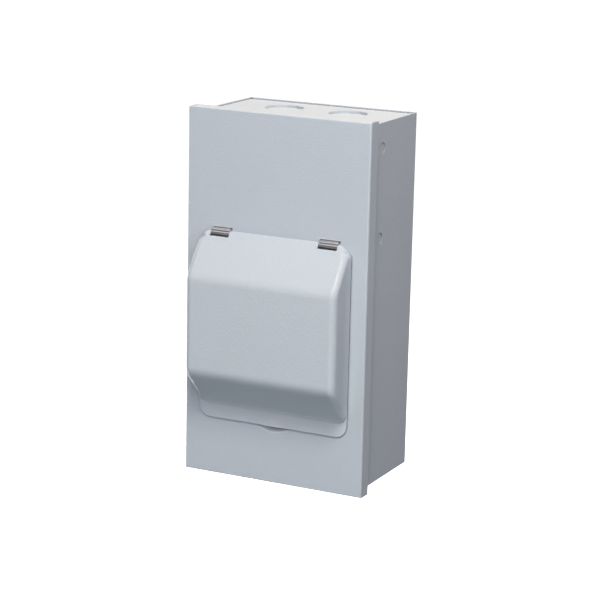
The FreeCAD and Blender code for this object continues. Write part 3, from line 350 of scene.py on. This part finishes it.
def make_materials():
    """One material for each finish of the box."""
    return {
        "enclosure_paint": powder_coat("box_powder_coat", BOX_COLOUR, 0.45, 0.60, 0.04),
        # The knockouts' copy of the coat has its painted crevice shade over a shorter reach.
        "knockout_paint": powder_coat("knockout_powder_coat", BOX_COLOUR, 0.45, 0.50, 0.04,
                                      reach=0.3 * MM),
        "door_paint": powder_coat("flap_powder_coat", FLAP_COLOUR, 0.45, 0.50, 0.18,
                                  gleam=0.12, top=PIN_HEIGHT - 1 * MM),
        "bright_steel": plated_steel("zinc_plate", (0.62, 0.62, 0.60), 0.32),
        "clip_steel": plated_steel("nickel_plate", (0.78, 0.74, 0.71), 0.38, (0.05, 1, 1)),
        "brass": plated_steel("machined_brass", (0.78, 0.60, 0.30), 0.30, (0.1, 1, 1)),
        "copper": plated_steel("bare_copper", (0.82, 0.44, 0.28), 0.34, (0.1, 1, 1)),
        "light_plastic": moulded_plastic("grey_moulding", (0.66, 0.67, 0.66), 0.48),
        "dark_plastic": moulded_plastic("black_moulding", (0.018, 0.018, 0.020), 0.42),
        "red_plastic": moulded_plastic("red_moulding", (0.50, 0.018, 0.014), 0.34),
        "blue_plastic": moulded_plastic("blue_moulding", (0.02, 0.09, 0.38), 0.44),
    }


# ---------------------------------------------------------------- mesh helpers

def point(x, out, z):
    """A point from its place across, its distance from the wall and its height."""
    return Vector((x, -out, z))


def span(middle, reach):
    """The two ends of a stretch about a middle."""
    return (middle - reach, middle + reach)


def piece(name, mesh, body, slot, material, *replaced):
    """A finished mesh as a named piece on a body, in place of the CAD nodes given, if any."""
    item = add_object(name, mesh)
    mesh.materials.append(material)
    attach(item, body)
    if replaced:
        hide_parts(*replaced)
    return item


def smooth_step(share):
    """A share limited to 0 and 1, with both ends eased."""
    share = min(1, max(0, share))
    return share * share * (3 - 2 * share)


def smooth(mesh, sharp):
    """Smooth shading, except across edges sharper than an angle in degrees."""
    mesh.polygons.foreach_set("use_smooth", [True] * len(mesh.polygons))
    mesh.set_sharp_from_angle(angle=math.radians(sharp))


def finish_mesh(bm, name, sharp=35):
    """A bmesh as a mesh with clean normals, smooth up to an angle in degrees."""
    bmesh.ops.remove_doubles(bm, verts=bm.verts, dist=1e-6)
    bmesh.ops.recalc_face_normals(bm, faces=bm.faces)
    mesh = bpy.data.meshes.new(name)
    bm.to_mesh(mesh)
    bm.free()
    smooth(mesh, sharp)
    return mesh


def weight_normals(item):
    """Keeps the large flat faces flat in the shading."""
    modifier = item.modifiers.new("flat_faces", "WEIGHTED_NORMAL")
    modifier.keep_sharp = True


def bridge(bm, rings):
    """Quads between closed rings of vertices that all have the same count."""
    count = len(rings[0])
    for near_ring, far_ring in zip(rings, rings[1:]):
        for index in range(count):
            following = (index + 1) % count
            bm.faces.new((near_ring[index], near_ring[following],
                          far_ring[following], far_ring[index]))


def carve(item, cutters):
    """Takes closed cutter meshes out of a piece, for good."""
    holders = []
    for index, cutter in enumerate(cutters):
        holder = add_object(f"cutter_{index}", cutter)
        holders.append(holder)
        modifier = item.modifiers.new(f"cut_{index}", "BOOLEAN")
        modifier.operation = "DIFFERENCE"
        modifier.solver = "EXACT"
        modifier.object = holder
    graph = bpy.context.evaluated_depsgraph_get()
    result = bpy.data.meshes.new_from_object(item.evaluated_get(graph))
    item.modifiers.clear()
    item.data = result
    for holder in holders:
        bpy.data.objects.remove(holder, do_unlink=True)


def block_mesh(x, out, z):
    """A closed box as a cutter, between two places along each axis."""
    bm = bmesh.new()
    corners = [bm.verts.new(point(a, b, c)) for a in x for b in out for c in z]
    sides = ((0, 1, 3, 2), (4, 6, 7, 5), (0, 4, 5, 1), (2, 3, 7, 6), (0, 2, 6, 4), (1, 5, 7, 3))
    for side in sides:
        bm.faces.new([corners[index] for index in side])
    return finish_mesh(bm, "cutter")


def circle_points(first, second, radius, steps):
    """Points round a middle, as pairs."""
    turns = [2 * math.pi * step / steps for step in range(steps)]
    return [(first + radius * math.cos(turn), second + radius * math.sin(turn)) for turn in turns]


def prism_mesh(outline, out):
    """A closed prism as a cutter: an outline of (x, z) points between two distances."""
    bm = bmesh.new()
    rings = [[bm.verts.new(point(x, level, z)) for x, z in outline] for level in out]
    bridge(bm, rings)
    for ring in rings:
        bm.faces.new(ring)
    return finish_mesh(bm, "cutter")


def rounded_outline(x, z, radius):
    """(x, z) points of a rectangle with round corners, anticlockwise from the right."""
    steps = 8
    corners = [(x[1] - radius, z[1] - radius, 0), (x[0] + radius, z[1] - radius, 90),
               (x[0] + radius, z[0] + radius, 180), (x[1] - radius, z[0] + radius, 270)]
    points = []
    for across, up, start in corners:
        for step in range(steps + 1):
            angle = math.radians(start + 90 * step / steps)
            points.append((across + radius * math.cos(angle), up + radius * math.sin(angle)))
    return points


# ---------------------------------------------------------------- front cover

FOLD = 1.3 * MM
SEAM_GAP = 0.45 * MM

# The finger dish: its wall is the ring over which it gets deeper, and its rings shrink by a step
# of its radius, apart from the last.
DISH_RADIUS = 18 * MM
DISH_DEPTH = 3.0 * MM
DISH_WALL = 5.6 * MM
DISH_BELOW_DOOR = 5.5 * MM
DISH_STEPS = 72
DISH_RINGS = 16
DISH_RING_STEP = 0.035
DISH_LAST_RING = 0.2

# Triangulation: faces inside the outline only, and the digits to which its points are matched.
INSIDE_ONLY = 1
KEY_DIGITS = 7

# Openings: the window round the switchgear, the slots by their depths below the clips' tops, and
# the screw holes.
WINDOW_HALF_HEIGHT = 23 * MM
WINDOW_SIDE = 0.85 * MM
WINDOW_CORNER = 1.5 * MM
SLOT_BELOW_CLIP_TOP = (11.1 * MM, 9.5 * MM)
SLOT_SLACK = 0.5 * MM
SLOT_CORNER = 0.5 * MM
SCREW_HOLE_RADIUS = 2.2 * MM


def dish_depth(distance):
    """Depth of the finger dish at a distance from its middle, wall and floor, before its tilt."""
    return DISH_DEPTH * smooth_step((DISH_RADIUS - distance) / DISH_WALL)


def fold_section():
    """The cover's fold from front face to rim end and back inside, as (inset, out) pairs."""
    lip = 0.15 * MM
    steps = 6
    section = []
    for step in range(steps + 1):
        angle = math.radians(90 * step / steps)
        section.append((FOLD * (1 - math.sin(angle)), COVER_FRONT - FOLD * (1 - math.cos(angle))))
    section += [(0, RIM_BACK + lip), (lip, RIM_BACK), (SHEET - lip, RIM_BACK),
                (SHEET, RIM_BACK + lip)]
    inner = FOLD - SHEET
    for step in range(steps + 1):
        angle = math.radians(90 * (1 - step / steps))
        section.append((FOLD - inner * math.sin(angle),
                        COVER_FRONT - FOLD + inner * math.cos(angle)))
    return section


def flat_key(place):
    """A rounded pair by which a point of a flat face is found again."""
    return (round(place.x, KEY_DIGITS), round(place.y, KEY_DIGITS))


def plate_with_dish(bm, corners, level, centre):
    """A flat face between four corners with the dish pressed into it, deepest at its lower end."""
    circle = circle_points(*centre, DISH_RADIUS, DISH_STEPS)
    flat = [Vector((corner.co.x, corner.co.z)) for corner in corners]
    flat += [Vector(place) for place in circle]
    edges = [(index, (index + 1) % 4) for index in range(4)]
    edges += [(4 + step, 4 + (step + 1) % DISH_STEPS) for step in range(DISH_STEPS)]
    places, _, faces, *_ = delaunay_2d_cdt(flat, edges, [], INSIDE_ONLY, 10 ** -KEY_DIGITS)
    rim = [bm.verts.new(point(x, level, z)) for x, z in circle]
    known = {flat_key(vertex.co.xz): vertex for vertex in list(corners) + rim}
    for face in faces:
        middle = sum((places[index] for index in face), Vector((0, 0))) / len(face)
        if (middle - Vector(centre)).length > DISH_RADIUS:
            bm.faces.new([known[flat_key(places[index])] for index in face])
    rings = [rim]
    for ring in range(1, DISH_RINGS):
        share = 1 - DISH_RING_STEP * ring if ring < DISH_RINGS - 1 else DISH_LAST_RING
        depth = dish_depth(DISH_RADIUS * share)
        inner = []
        for x, z in circle:
            place = Vector(centre) + (Vector((x, z)) - Vector(centre)) * share
            tilt = 0.5 - 0.5 * (place.y - centre[1]) / DISH_RADIUS
            inner.append(bm.verts.new(point(place.x, level - depth * tilt, place.y)))
        rings.append(inner)
    bridge(bm, rings)
    bm.faces.new(rings[-1])


def make_cover(materials):
    """The front cover as one folded sheet with its dish, window, slots, screw holes and seams."""
    bm = bmesh.new()
    rings = []
    for inset, out in fold_section():
        x, z = COVER_HALF_WIDTH - inset, COVER_HALF_HEIGHT - inset
        rings.append([bm.verts.new(point(sx * x, out, sz * z))
                      for sx, sz in ((1, 1), (-1, 1), (-1, -1), (1, -1))])
    bridge(bm, rings)
    centre = (0, DOOR_LOW.z - DISH_BELOW_DOOR + DISH_RADIUS)
    plate_with_dish(bm, rings[0], COVER_FRONT, centre)
    plate_with_dish(bm, rings[-1], COVER_FRONT - SHEET, centre)
    cover = piece("cover_shell", finish_mesh(bm, "cover_shell"), "cover", "enclosure_paint",
                  materials["enclosure_paint"], "front_cover")
    carve(cover, front_cutters() + seam_cutters())
    smooth(cover.data, sharp=32)
    weight_normals(cover)


def front_cutters():
    """The window, the clip slots and the screw holes, cut through the cover's face."""
    through = span(COVER_FRONT, 3 * SHEET)
    first_low, first_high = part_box("main_switch_housing")
    last_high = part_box("breaker_b_housing")[1]
    screws_low, screws_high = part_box("cover_screws")
    row = (first_low.z + first_high.z) / 2
    outlines = [rounded_outline((first_low.x - WINDOW_SIDE, last_high.x + WINDOW_SIDE),
                                span(row, WINDOW_HALF_HEIGHT), WINDOW_CORNER)]
    slot_z = [CLIP_HIGH.z - drop for drop in SLOT_BELOW_CLIP_TOP]
    screw = screws_high.x - (screws_high.z - screws_low.z) / 2
    for sign in (-1, 1):
        across = span(sign * CLIP_CENTRE, CLIP_WIDTH / 2 + SLOT_SLACK)
        outlines.append(rounded_outline(across, slot_z, SLOT_CORNER))
        outlines.append(rounded_outline(span(sign * screw, SCREW_HOLE_RADIUS),
                                        span(row, SCREW_HOLE_RADIUS), SCREW_HOLE_RADIUS))
    return [prism_mesh(outline, through) for outline in outlines]


def seam_cutters():
    """The open slits at the rim's four corners, behind the fold."""
    inner = COVER_HALF_WIDTH - SHEET
    slits = []
    for sx in (-1, 1):
        for sz in (-1, 1):
            across = sorted((sx * inner, sx * (inner - SEAM_GAP)))
            up = sorted((sz * (COVER_HALF_HEIGHT - 1.4 * SHEET), sz * (COVER_HALF_HEIGHT + SHEET)))
            slits.append(block_mesh(across, (RIM_BACK - SHEET, COVER_FRONT - FOLD), up))
    return slits


# ---------------------------------------------------------------- flap

DOOR_BACK = -DOOR_HIGH.y
DOOR_HALF_WIDTH = DOOR_HIGH.x
HOOD_FRONT = -DOOR_LOW.y
DOOR_BOTTOM = DOOR_LOW.z
DOOR_FACE = DOOR_BACK + SHEET
ROLL_RADIUS = PIN_RADIUS + SHEET
DOOR_TOP = PIN_HEIGHT + ROLL_RADIUS

# The roll starts behind the wire. Round a corner, the top's rolled edge takes over from the
# side's cut edge between these two turns, in degrees.
ROLL_START = math.radians(165)
ROLL_BLEND = (15, 62)

# Heights of the hood's lower edge, the foot of its lower slope and its two crests.
HOOD_BOTTOM = DOOR_BOTTOM + 9.3 * MM
FOOT_START = DOOR_BOTTOM + 10.8 * MM
CREST_LOW = DOOR_BOTTOM + 33.5 * MM
CREST_HIGH = DOOR_BOTTOM + 97.9 * MM

# Corners seen from the front, then rounds over the foot, the crests and the side edges. Where the
# hood is low, its side round is a share of its height.
TOP_CORNER = 9.5 * MM
LOW_CORNER = 8.0 * MM
HOOD_CORNER = 7.0 * MM
FOOT_ROUND = 3.0 * MM
HIGH_ROUND = 3.6 * MM
LOW_ROUND = 4.6 * MM
SIDE_ROUND = 4.2 * MM
ROUND_SHARE = 0.8
LEAST_ROUND = 0.1 * MM

# Eased edges of the sheet, and small rises that keep the paths' points apart.
BACK_EASE = 0.45 * MM
FACE_EASE = 0.30 * MM
INNER_STEP = 0.05 * MM
FOOT_RISE = 0.15 * MM
LOW_STEP = 0.22 * MM
FLANGE_LIFT = 0.02 * MM
CREST_CREEP = 0.3 * MM
SLOPE_REACH = 5.0 * MM

# The finger bump on the flange, and the notches for the clips with how far their cutter reaches.
BUMP_RISE = 0.8 * MM
BUMP_HEIGHT = 7.0 * MM
BUMP_TIP = 2.0 * MM
BUMP_SPREAD = 7.5 * MM
NOTCH_SLACK = 0.25 * MM
NOTCH_BELOW_CLIP = 0.7 * MM
NOTCH_CORNER = 0.3 * MM
CUT_ABOVE = 3 * MM
CUT_BEHIND = 2 * MM
CUT_AHEAD = 12 * MM

# Levels down the sides, fine near a crest, and the steps along each part of a path or outline.
FINE_LEVEL = 0.8 * MM
COARSE_LEVEL = 3.5 * MM
CREST_REACH = 1.6
TOP_STEPS = 40
CORNER_STEPS = 20
SIDE_STEPS = 48
BACK_STEPS = 4
EASE_STEPS = 4
FLANGE_STEPS = 5
WALL_STEPS = 6
ROUND_STEPS = 10


def roll_end():
    """The angle at which the upper slope leaves the rolled edge as a tangent."""
    to_crest = Vector((HOOD_FRONT - PIN_OUT, CREST_HIGH - PIN_HEIGHT))
    return math.atan2(to_crest.y, to_crest.x) + math.acos(ROLL_RADIUS / to_crest.length)


def rolled(radius, angle):
    """(out, z) of a point round the hinge wire."""
    return (PIN_OUT + radius * math.cos(angle), PIN_HEIGHT + radius * math.sin(angle))


def soft_least(first, second, reach):
    """The lesser of two distances, blended where they are nearly the same."""
    share = max(0, reach - abs(first - second)) / reach
    return min(first, second) - share * share * reach / 4


def hood_out(z):
    """Distance of the hood's surface from the wall at a height: two slopes and a flat front."""
    start_out, start_z = rolled(ROLL_RADIUS, roll_end())
    steep = (HOOD_FRONT - start_out) / (start_z - CREST_HIGH)
    high = HOOD_FRONT - steep * (z - CREST_HIGH)
    low_steep = (HOOD_FRONT - DOOR_FACE - LOW_STEP) / (CREST_LOW - FOOT_START)
    low = HOOD_FRONT - low_steep * (CREST_LOW - z)
    low = -soft_least(-low, -(DOOR_FACE + LOW_STEP), FOOT_ROUND * low_steep)
    return soft_least(soft_least(high, HOOD_FRONT, HIGH_ROUND * steep), low, LOW_ROUND * low_steep)


def side_levels(high, low):
    """Heights down a side of the flap, closer together round the hood's crests."""
    crests = ((CREST_HIGH, CREST_REACH * HIGH_ROUND), (CREST_LOW, CREST_REACH * LOW_ROUND))
    weights = []
    z = high
    while z > low:
        near = any(abs(z - crest) < reach for crest, reach in crests)
        weights.append(FINE_LEVEL if near else COARSE_LEVEL)
        z -= weights[-1]
    levels = [high]
    for step in range(SIDE_STEPS):
        place = (step + 1) / SIDE_STEPS * len(weights)
        whole = sum(weights[:int(place)])
        part = (place - int(place)) * weights[min(int(place), len(weights) - 1)]
        levels.append(high - (high - low) * (whole + part) / sum(weights))
    return levels


def quarter(middle, radius, start):
    """A quarter of an outline's corner, as (place, inward) pairs."""
    turns = [math.radians(start + 90 * step / CORNER_STEPS) for step in range(CORNER_STEPS + 1)]
    ways = [Vector((math.cos(turn), math.sin(turn))) for turn in turns]
    return [(middle + way * radius, -way) for way in ways]


def outline(low, low_radius):
    """The flap's outline as (place, inward) pairs, from its right side over the top and round."""
    top = DOOR_TOP - TOP_CORNER
    high_middle = Vector((DOOR_HALF_WIDTH - TOP_CORNER, top))
    low_middle = Vector((DOOR_HALF_WIDTH - low_radius, low + low_radius))
    mirror = Vector((-1, 1))
    levels = side_levels(top, low + low_radius)[1:-1]
    spread = [1 - 2 * step / TOP_STEPS for step in range(1, TOP_STEPS)]
    ring = quarter(high_middle, TOP_CORNER, 0)
    ring += [(Vector((high_middle.x * share, DOOR_TOP)), Vector((0, -1))) for share in spread]
    ring += quarter(high_middle * mirror, TOP_CORNER, 90)
    ring += [(Vector((-DOOR_HALF_WIDTH, z)), Vector((1, 0))) for z in levels]
    ring += quarter(low_middle * mirror, low_radius, 180)
    ring += [(Vector((-low_middle.x * share, low)), Vector((0, 1))) for share in spread]
    ring += quarter(low_middle, low_radius, 270)
    ring += [(Vector((DOOR_HALF_WIDTH, z)), Vector((-1, 0))) for z in reversed(levels)]
    return ring


def top_share(inward):
    """How far a place on the outline belongs to the rolled top edge: 1 there, 0 at a side."""
    degrees = math.degrees(math.asin(max(-1, min(1, -inward.y))))
    start, end = ROLL_BLEND
    return smooth_step((degrees - start) / (end - start))


def bump_height(x, z):
    """The shallow cone pressed out of the bottom flange for a finger."""
    share = (DOOR_BOTTOM + BUMP_HEIGHT - z) / BUMP_HEIGHT
    if share <= 0:
        return 0
    half = BUMP_TIP + BUMP_SPREAD * share
    across = min(1, abs(x) / half)
    return BUMP_RISE * min(1, share) * (0.5 + 0.5 * math.cos(math.pi * across))


def edge_path(skin, wide):
    """(inset, out) pairs over the sheet's edge, rounded at the face where the flange is wide.

    A skin below the outside they are as many points on the sheet's back.
    """
    path = []
    for step in range(BACK_STEPS + 1):
        angle = math.radians(90 * step / BACK_STEPS)
        path.append((BACK_EASE * (1 - math.sin(angle)),
                     DOOR_BACK + BACK_EASE * (1 - math.cos(angle))))
    for step in range(EASE_STEPS + 1):
        angle = math.radians(90 * step / EASE_STEPS)
        path.append((wide * FACE_EASE * (1 - math.cos(angle)),
                     DOOR_FACE - FACE_EASE * (1 - math.sin(angle))))
    if skin == 0:
        return path
    return [(BACK_EASE + INNER_STEP * (step + 1), DOOR_BACK) for step in range(len(path))]


def side_path(place, inward, hood_place, hood_inward, skin):
    """A path over the sheet from its back edge up the hood's wall and round onto its face."""
    face = DOOR_FACE - skin
    wide = min(1, max(0, (hood_place - place).dot(inward) / MM))
    path = []
    for inset, out in edge_path(skin, wide):
        spot = place + inward * inset
        path.append(Vector((spot.x, out + bump_height(spot.x, spot.y), spot.y)))
    flange = place + inward * (wide * FACE_EASE if skin == 0 else edge_path(skin, wide)[-1][0])
    foot = hood_place + hood_inward * (skin - wide * FOOT_RISE)
    for step in range(1, FLANGE_STEPS + 1):
        spot = flange.lerp(foot, step / FLANGE_STEPS)
        rise = bump_height(spot.x, spot.y) + FLANGE_LIFT * step
        path.append(Vector((spot.x, face + rise, spot.y)))
    start = hood_place + hood_inward * skin
    surface = hood_out(start.y) - skin
    base = face + FOOT_RISE
    turn = max(LEAST_ROUND, min(SIDE_ROUND, ROUND_SHARE * (surface - base)) - skin)
    for step in range(WALL_STEPS + 1):
        out = base + (surface - turn - base) * step / WALL_STEPS
        path.append(Vector((start.x, out, start.y)))
    for step in range(1, ROUND_STEPS + 1):
        angle = math.radians(90 * step / ROUND_STEPS)
        creep = CREST_CREEP * step / ROUND_STEPS
        spot = start + hood_inward * (turn * (1 - math.cos(angle)) + creep)
        out = hood_out(spot.y) - skin - turn * (1 - math.sin(angle))
        path.append(Vector((spot.x, out, spot.y)))
    return path


def top_path(place, inward, skin):
    """A path round the hinge wire and down the upper slope, with as many points as side_path."""
    end = roll_end()
    radius = ROLL_RADIUS - skin
    count = len(edge_path(skin, 1))
    leave = ROLL_RADIUS - radius * math.sin(end)
    lift = hood_out((place + inward * leave).y) - skin - rolled(radius, end)[0]
    path = []
    for step in range(count):
        out, z = rolled(radius, ROLL_START + (end - ROLL_START) * step / (count - 1))
        spot = place + inward * (DOOR_TOP - z)
        path.append(Vector((spot.x, out + lift * step / (count - 1), spot.y)))
    more = FLANGE_STEPS + WALL_STEPS + 1 + ROUND_STEPS
    for step in range(1, more + 1):
        spot = place + inward * (leave + SLOPE_REACH * step / more)
        path.append(Vector((spot.x, hood_out(spot.y) - skin, spot.y)))
    return path


def sheet_rings(skin):
    """Rings from the flap's back edge to the hood's face, on its outside or one skin below."""
    paths = []
    flap_edge = outline(DOOR_BOTTOM, LOW_CORNER)
    hood_edge = outline(HOOD_BOTTOM, HOOD_CORNER)
    for (place, inward), hood in zip(flap_edge, hood_edge):
        path = side_path(place, inward, *hood, skin)
        share = top_share(inward)
        if share > 0:
            top = top_path(place, inward, skin)
            path = [side.lerp(over, share) for side, over in zip(path, top)]
        paths.append(path)
    return [list(ring) for ring in zip(*paths)]


def fill_strips(bm, ring):
    """Level strips across the hood, between the two sides of its last ring."""
    count = len(ring)
    side = 2 * (CORNER_STEPS + 1) + SIDE_STEPS - 1
    right = [ring[(CORNER_STEPS - step) % count] for step in range(side)]
    left = [ring[CORNER_STEPS + TOP_STEPS + step] for step in range(side)]
    top = ring[CORNER_STEPS + 1:CORNER_STEPS + TOP_STEPS]
    after = CORNER_STEPS + TOP_STEPS + side
    bottom = ring[after:after + TOP_STEPS - 1]
    bm.faces.new([right[0], *top, left[0], left[1], right[1]])
    for step in range(1, side - 2):
        bm.faces.new((right[step], left[step], left[step + 1], right[step + 1]))
    bm.faces.new([left[-2], left[-1], *bottom, right[-1], right[-2]])


def make_flap(materials):
    """The drawn flap: rolled top edge, bottom flange with finger bump, and rounded hood."""
    bm = bmesh.new()
    outer = [[bm.verts.new(point(*place)) for place in ring] for ring in sheet_rings(0)]
    inner = [[bm.verts.new(point(*place)) for place in ring] for ring in sheet_rings(SHEET)]
    bridge(bm, inner[::-1] + outer)
    fill_strips(bm, outer[-1])
    fill_strips(bm, inner[-1])
    flap = piece("flap_shell", finish_mesh(bm, "flap_shell", sharp=50), "door", "door_paint",
                 materials["door_paint"], "door_flap")
    carve(flap, [notch_cutter(sign) for sign in (-1, 1)])
    smooth(flap.data, sharp=50)
    weight_normals(flap)


def notch_cutter(sign):
    """The gap in the rolled edge that a hinge clip stands in."""
    across = span(sign * CLIP_CENTRE, CLIP_WIDTH / 2 + NOTCH_SLACK)
    up = (CLIP_BOTTOM - NOTCH_BELOW_CLIP, DOOR_TOP + CUT_ABOVE)
    through = (DOOR_BACK - CUT_BEHIND, DOOR_BACK + CUT_AHEAD)
    return prism_mesh(rounded_outline(across, up, NOTCH_CORNER), through)


# ---------------------------------------------------------------- hinge clips

CLIP_SHEET = 0.6 * MM
CLIP_FRONT = -CLIP_LOW.y
CLIP_BOTTOM = PIN_HEIGHT - (CLIP_FRONT - PIN_OUT)

# The strip's sides are eased over a width, down to a share of its thickness.
CLIP_EASE = 0.15 * MM
CLIP_EDGE = 0.6

# Bends of the strip at its slot and barrel, the top of its level run above the wire, and the
# round of its lip about the wire.
BEND_RADIUS = 0.9 * MM
SHELF_HEIGHT = 2.9 * MM
CURL_RADIUS = 1.6 * MM


def arc(out, z, radius, angles):
    """(out, z) points round a middle, at angles in degrees from straight out."""
    turns = [math.radians(angle) for angle in angles]
    return [(out + radius * math.cos(turn), z + radius * math.sin(turn)) for turn in turns]


def clip_line():
    """The middle of the clip's strip as (out, z) points, from behind the cover to its lip.

    It goes down behind the cover, out through the slot, over the barrel, and round the wire.
    """
    half = CLIP_SHEET / 2
    inside = COVER_FRONT - SHEET - half
    front = CLIP_FRONT - half
    shelf = PIN_HEIGHT + SHELF_HEIGHT - half
    line = [(inside, CLIP_HIGH.z), (inside, shelf + 2 * BEND_RADIUS)]
    line += arc(inside + BEND_RADIUS, shelf + BEND_RADIUS, BEND_RADIUS, range(195, 271, 15))
    line += arc(front - BEND_RADIUS, shelf - BEND_RADIUS, BEND_RADIUS, range(90, -41, -10))
    line += arc(PIN_OUT, PIN_HEIGHT, CURL_RADIUS, range(35, -121, -12))
    return line


def make_clip(side, sign, materials):
    """A hinge clip: a strip that leaves its slot, rolls down over the wire and curls under."""
    line = [Vector(pair) for pair in clip_line()]
    section = []
    for index, place in enumerate(line):
        before = line[max(0, index - 1)]
        after = line[min(len(line) - 1, index + 1)]
        along = (after - before).normalized()
        section.append((place, Vector((-along.y, along.x)) * CLIP_SHEET / 2))
    start, end = span(sign * CLIP_CENTRE, CLIP_WIDTH / 2)
    bm = bmesh.new()
    rings = []
    for x, share in ((start, CLIP_EDGE), (start + CLIP_EASE, 1), (end - CLIP_EASE, 1),
                     (end, CLIP_EDGE)):
        ring = [bm.verts.new(point(x, *(place + across * share))) for place, across in section]
        ring += [bm.verts.new(point(x, *(place - across * share)))
                 for place, across in reversed(section)]
        rings.append(ring)
    bridge(bm, rings)
    count = len(section)
    for ring in (rings[0], rings[-1]):
        for index in range(count - 1):
            bm.faces.new((ring[index], ring[index + 1], ring[2 * count - 2 - index],
                          ring[2 * count - 1 - index]))
    clip = piece(f"clip_{side}", finish_mesh(bm, f"clip_{side}", sharp=40), "cover",
                 "bright_steel", materials["clip_steel"], f"hinge_clip_{side}")
    weight_normals(clip)


# ---------------------------------------------------------------- CAD nodes

# Widths of eased edges, by a word in the CAD node's name.
BEVELS = {"body_wrap": 0.1 * MM, "_plate": 0.45 * MM, "housing": 0.35 * MM,
          "toggle": 0.5 * MM, "latch": 0.2 * MM, "trough": 0.3 * MM,
          "holder": 0.4 * MM, "neutral_bar": 0.25 * MM, "earth_bar": 0.25 * MM}

# A knockout rim's section: how far outside the disc its wall, crest and outer edge stand.
RIM_STEPS = 64
RIM_INNER = 0.05 * MM
RIM_EDGE = 0.35 * MM
RIM_OUTER = 0.55 * MM
RIM_BELOW_DISC = 0.3 * MM


def dress_cad_nodes(materials):
    """Every CAD node gets its finish, and sheets, mouldings and bars get eased edges."""
    slots = {row["node"]: row["material_slot"] for row in frame["record"]["subparts"]}
    for name, item in frame["nodes"].items():
        item.data.materials.clear()
        finish = "knockout_paint" if name.startswith("knockout") else slots[name]
        item.data.materials.append(materials[finish])
        for word, width in BEVELS.items():
            if word in name and "screws" not in name:
                ease = item.modifiers.new("eased_edges", "BEVEL")
                ease.width = width
                ease.segments = 2
                ease.limit_method = "ANGLE"
                ease.angle_limit = math.radians(50)
                break


def make_knockout_rims(materials):
    """The end plates' sheared edges, drawn down round each knockout disc."""
    for end in ("top", "bottom"):
        plate_low, plate_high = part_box(f"{end}_plate")
        for side in ("left", "right"):
            low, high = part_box(f"knockout_{end}_{side}")
            radius = (high.x - low.x) / 2
            face = min(abs(low.z), abs(high.z)) + SHEET
            under = max(abs(plate_low.z), abs(plate_high.z)) - SHEET
            sign = 1 if end == "top" else -1
            x, out = (low.x + high.x) / 2, -low.y - radius
            crest = face - RIM_BELOW_DISC
            bm = bmesh.new()
            rings = []
            for reach, z in ((RIM_INNER, under), (RIM_INNER, crest), (RIM_EDGE, crest),
                             (RIM_OUTER, under)):
                rings.append([bm.verts.new(point(*place, sign * z))
                              for place in circle_points(x, out, radius + reach, RIM_STEPS)])
            bridge(bm, rings + rings[:1])
            piece(f"knockout_rim_{end}_{side}", finish_mesh(bm, f"knockout_rim_{end}_{side}"),
                  "enclosure", "enclosure_paint", materials["knockout_paint"])


make_camera()
make_light()
make_world()
make_floor()
finishes = make_materials()
dress_cad_nodes(finishes)
make_cover(finishes)
make_flap(finishes)
for clip_side, clip_sign in (("left", -1), ("right", 1)):
    make_clip(clip_side, clip_sign, finishes)
make_knockout_rims(finishes)
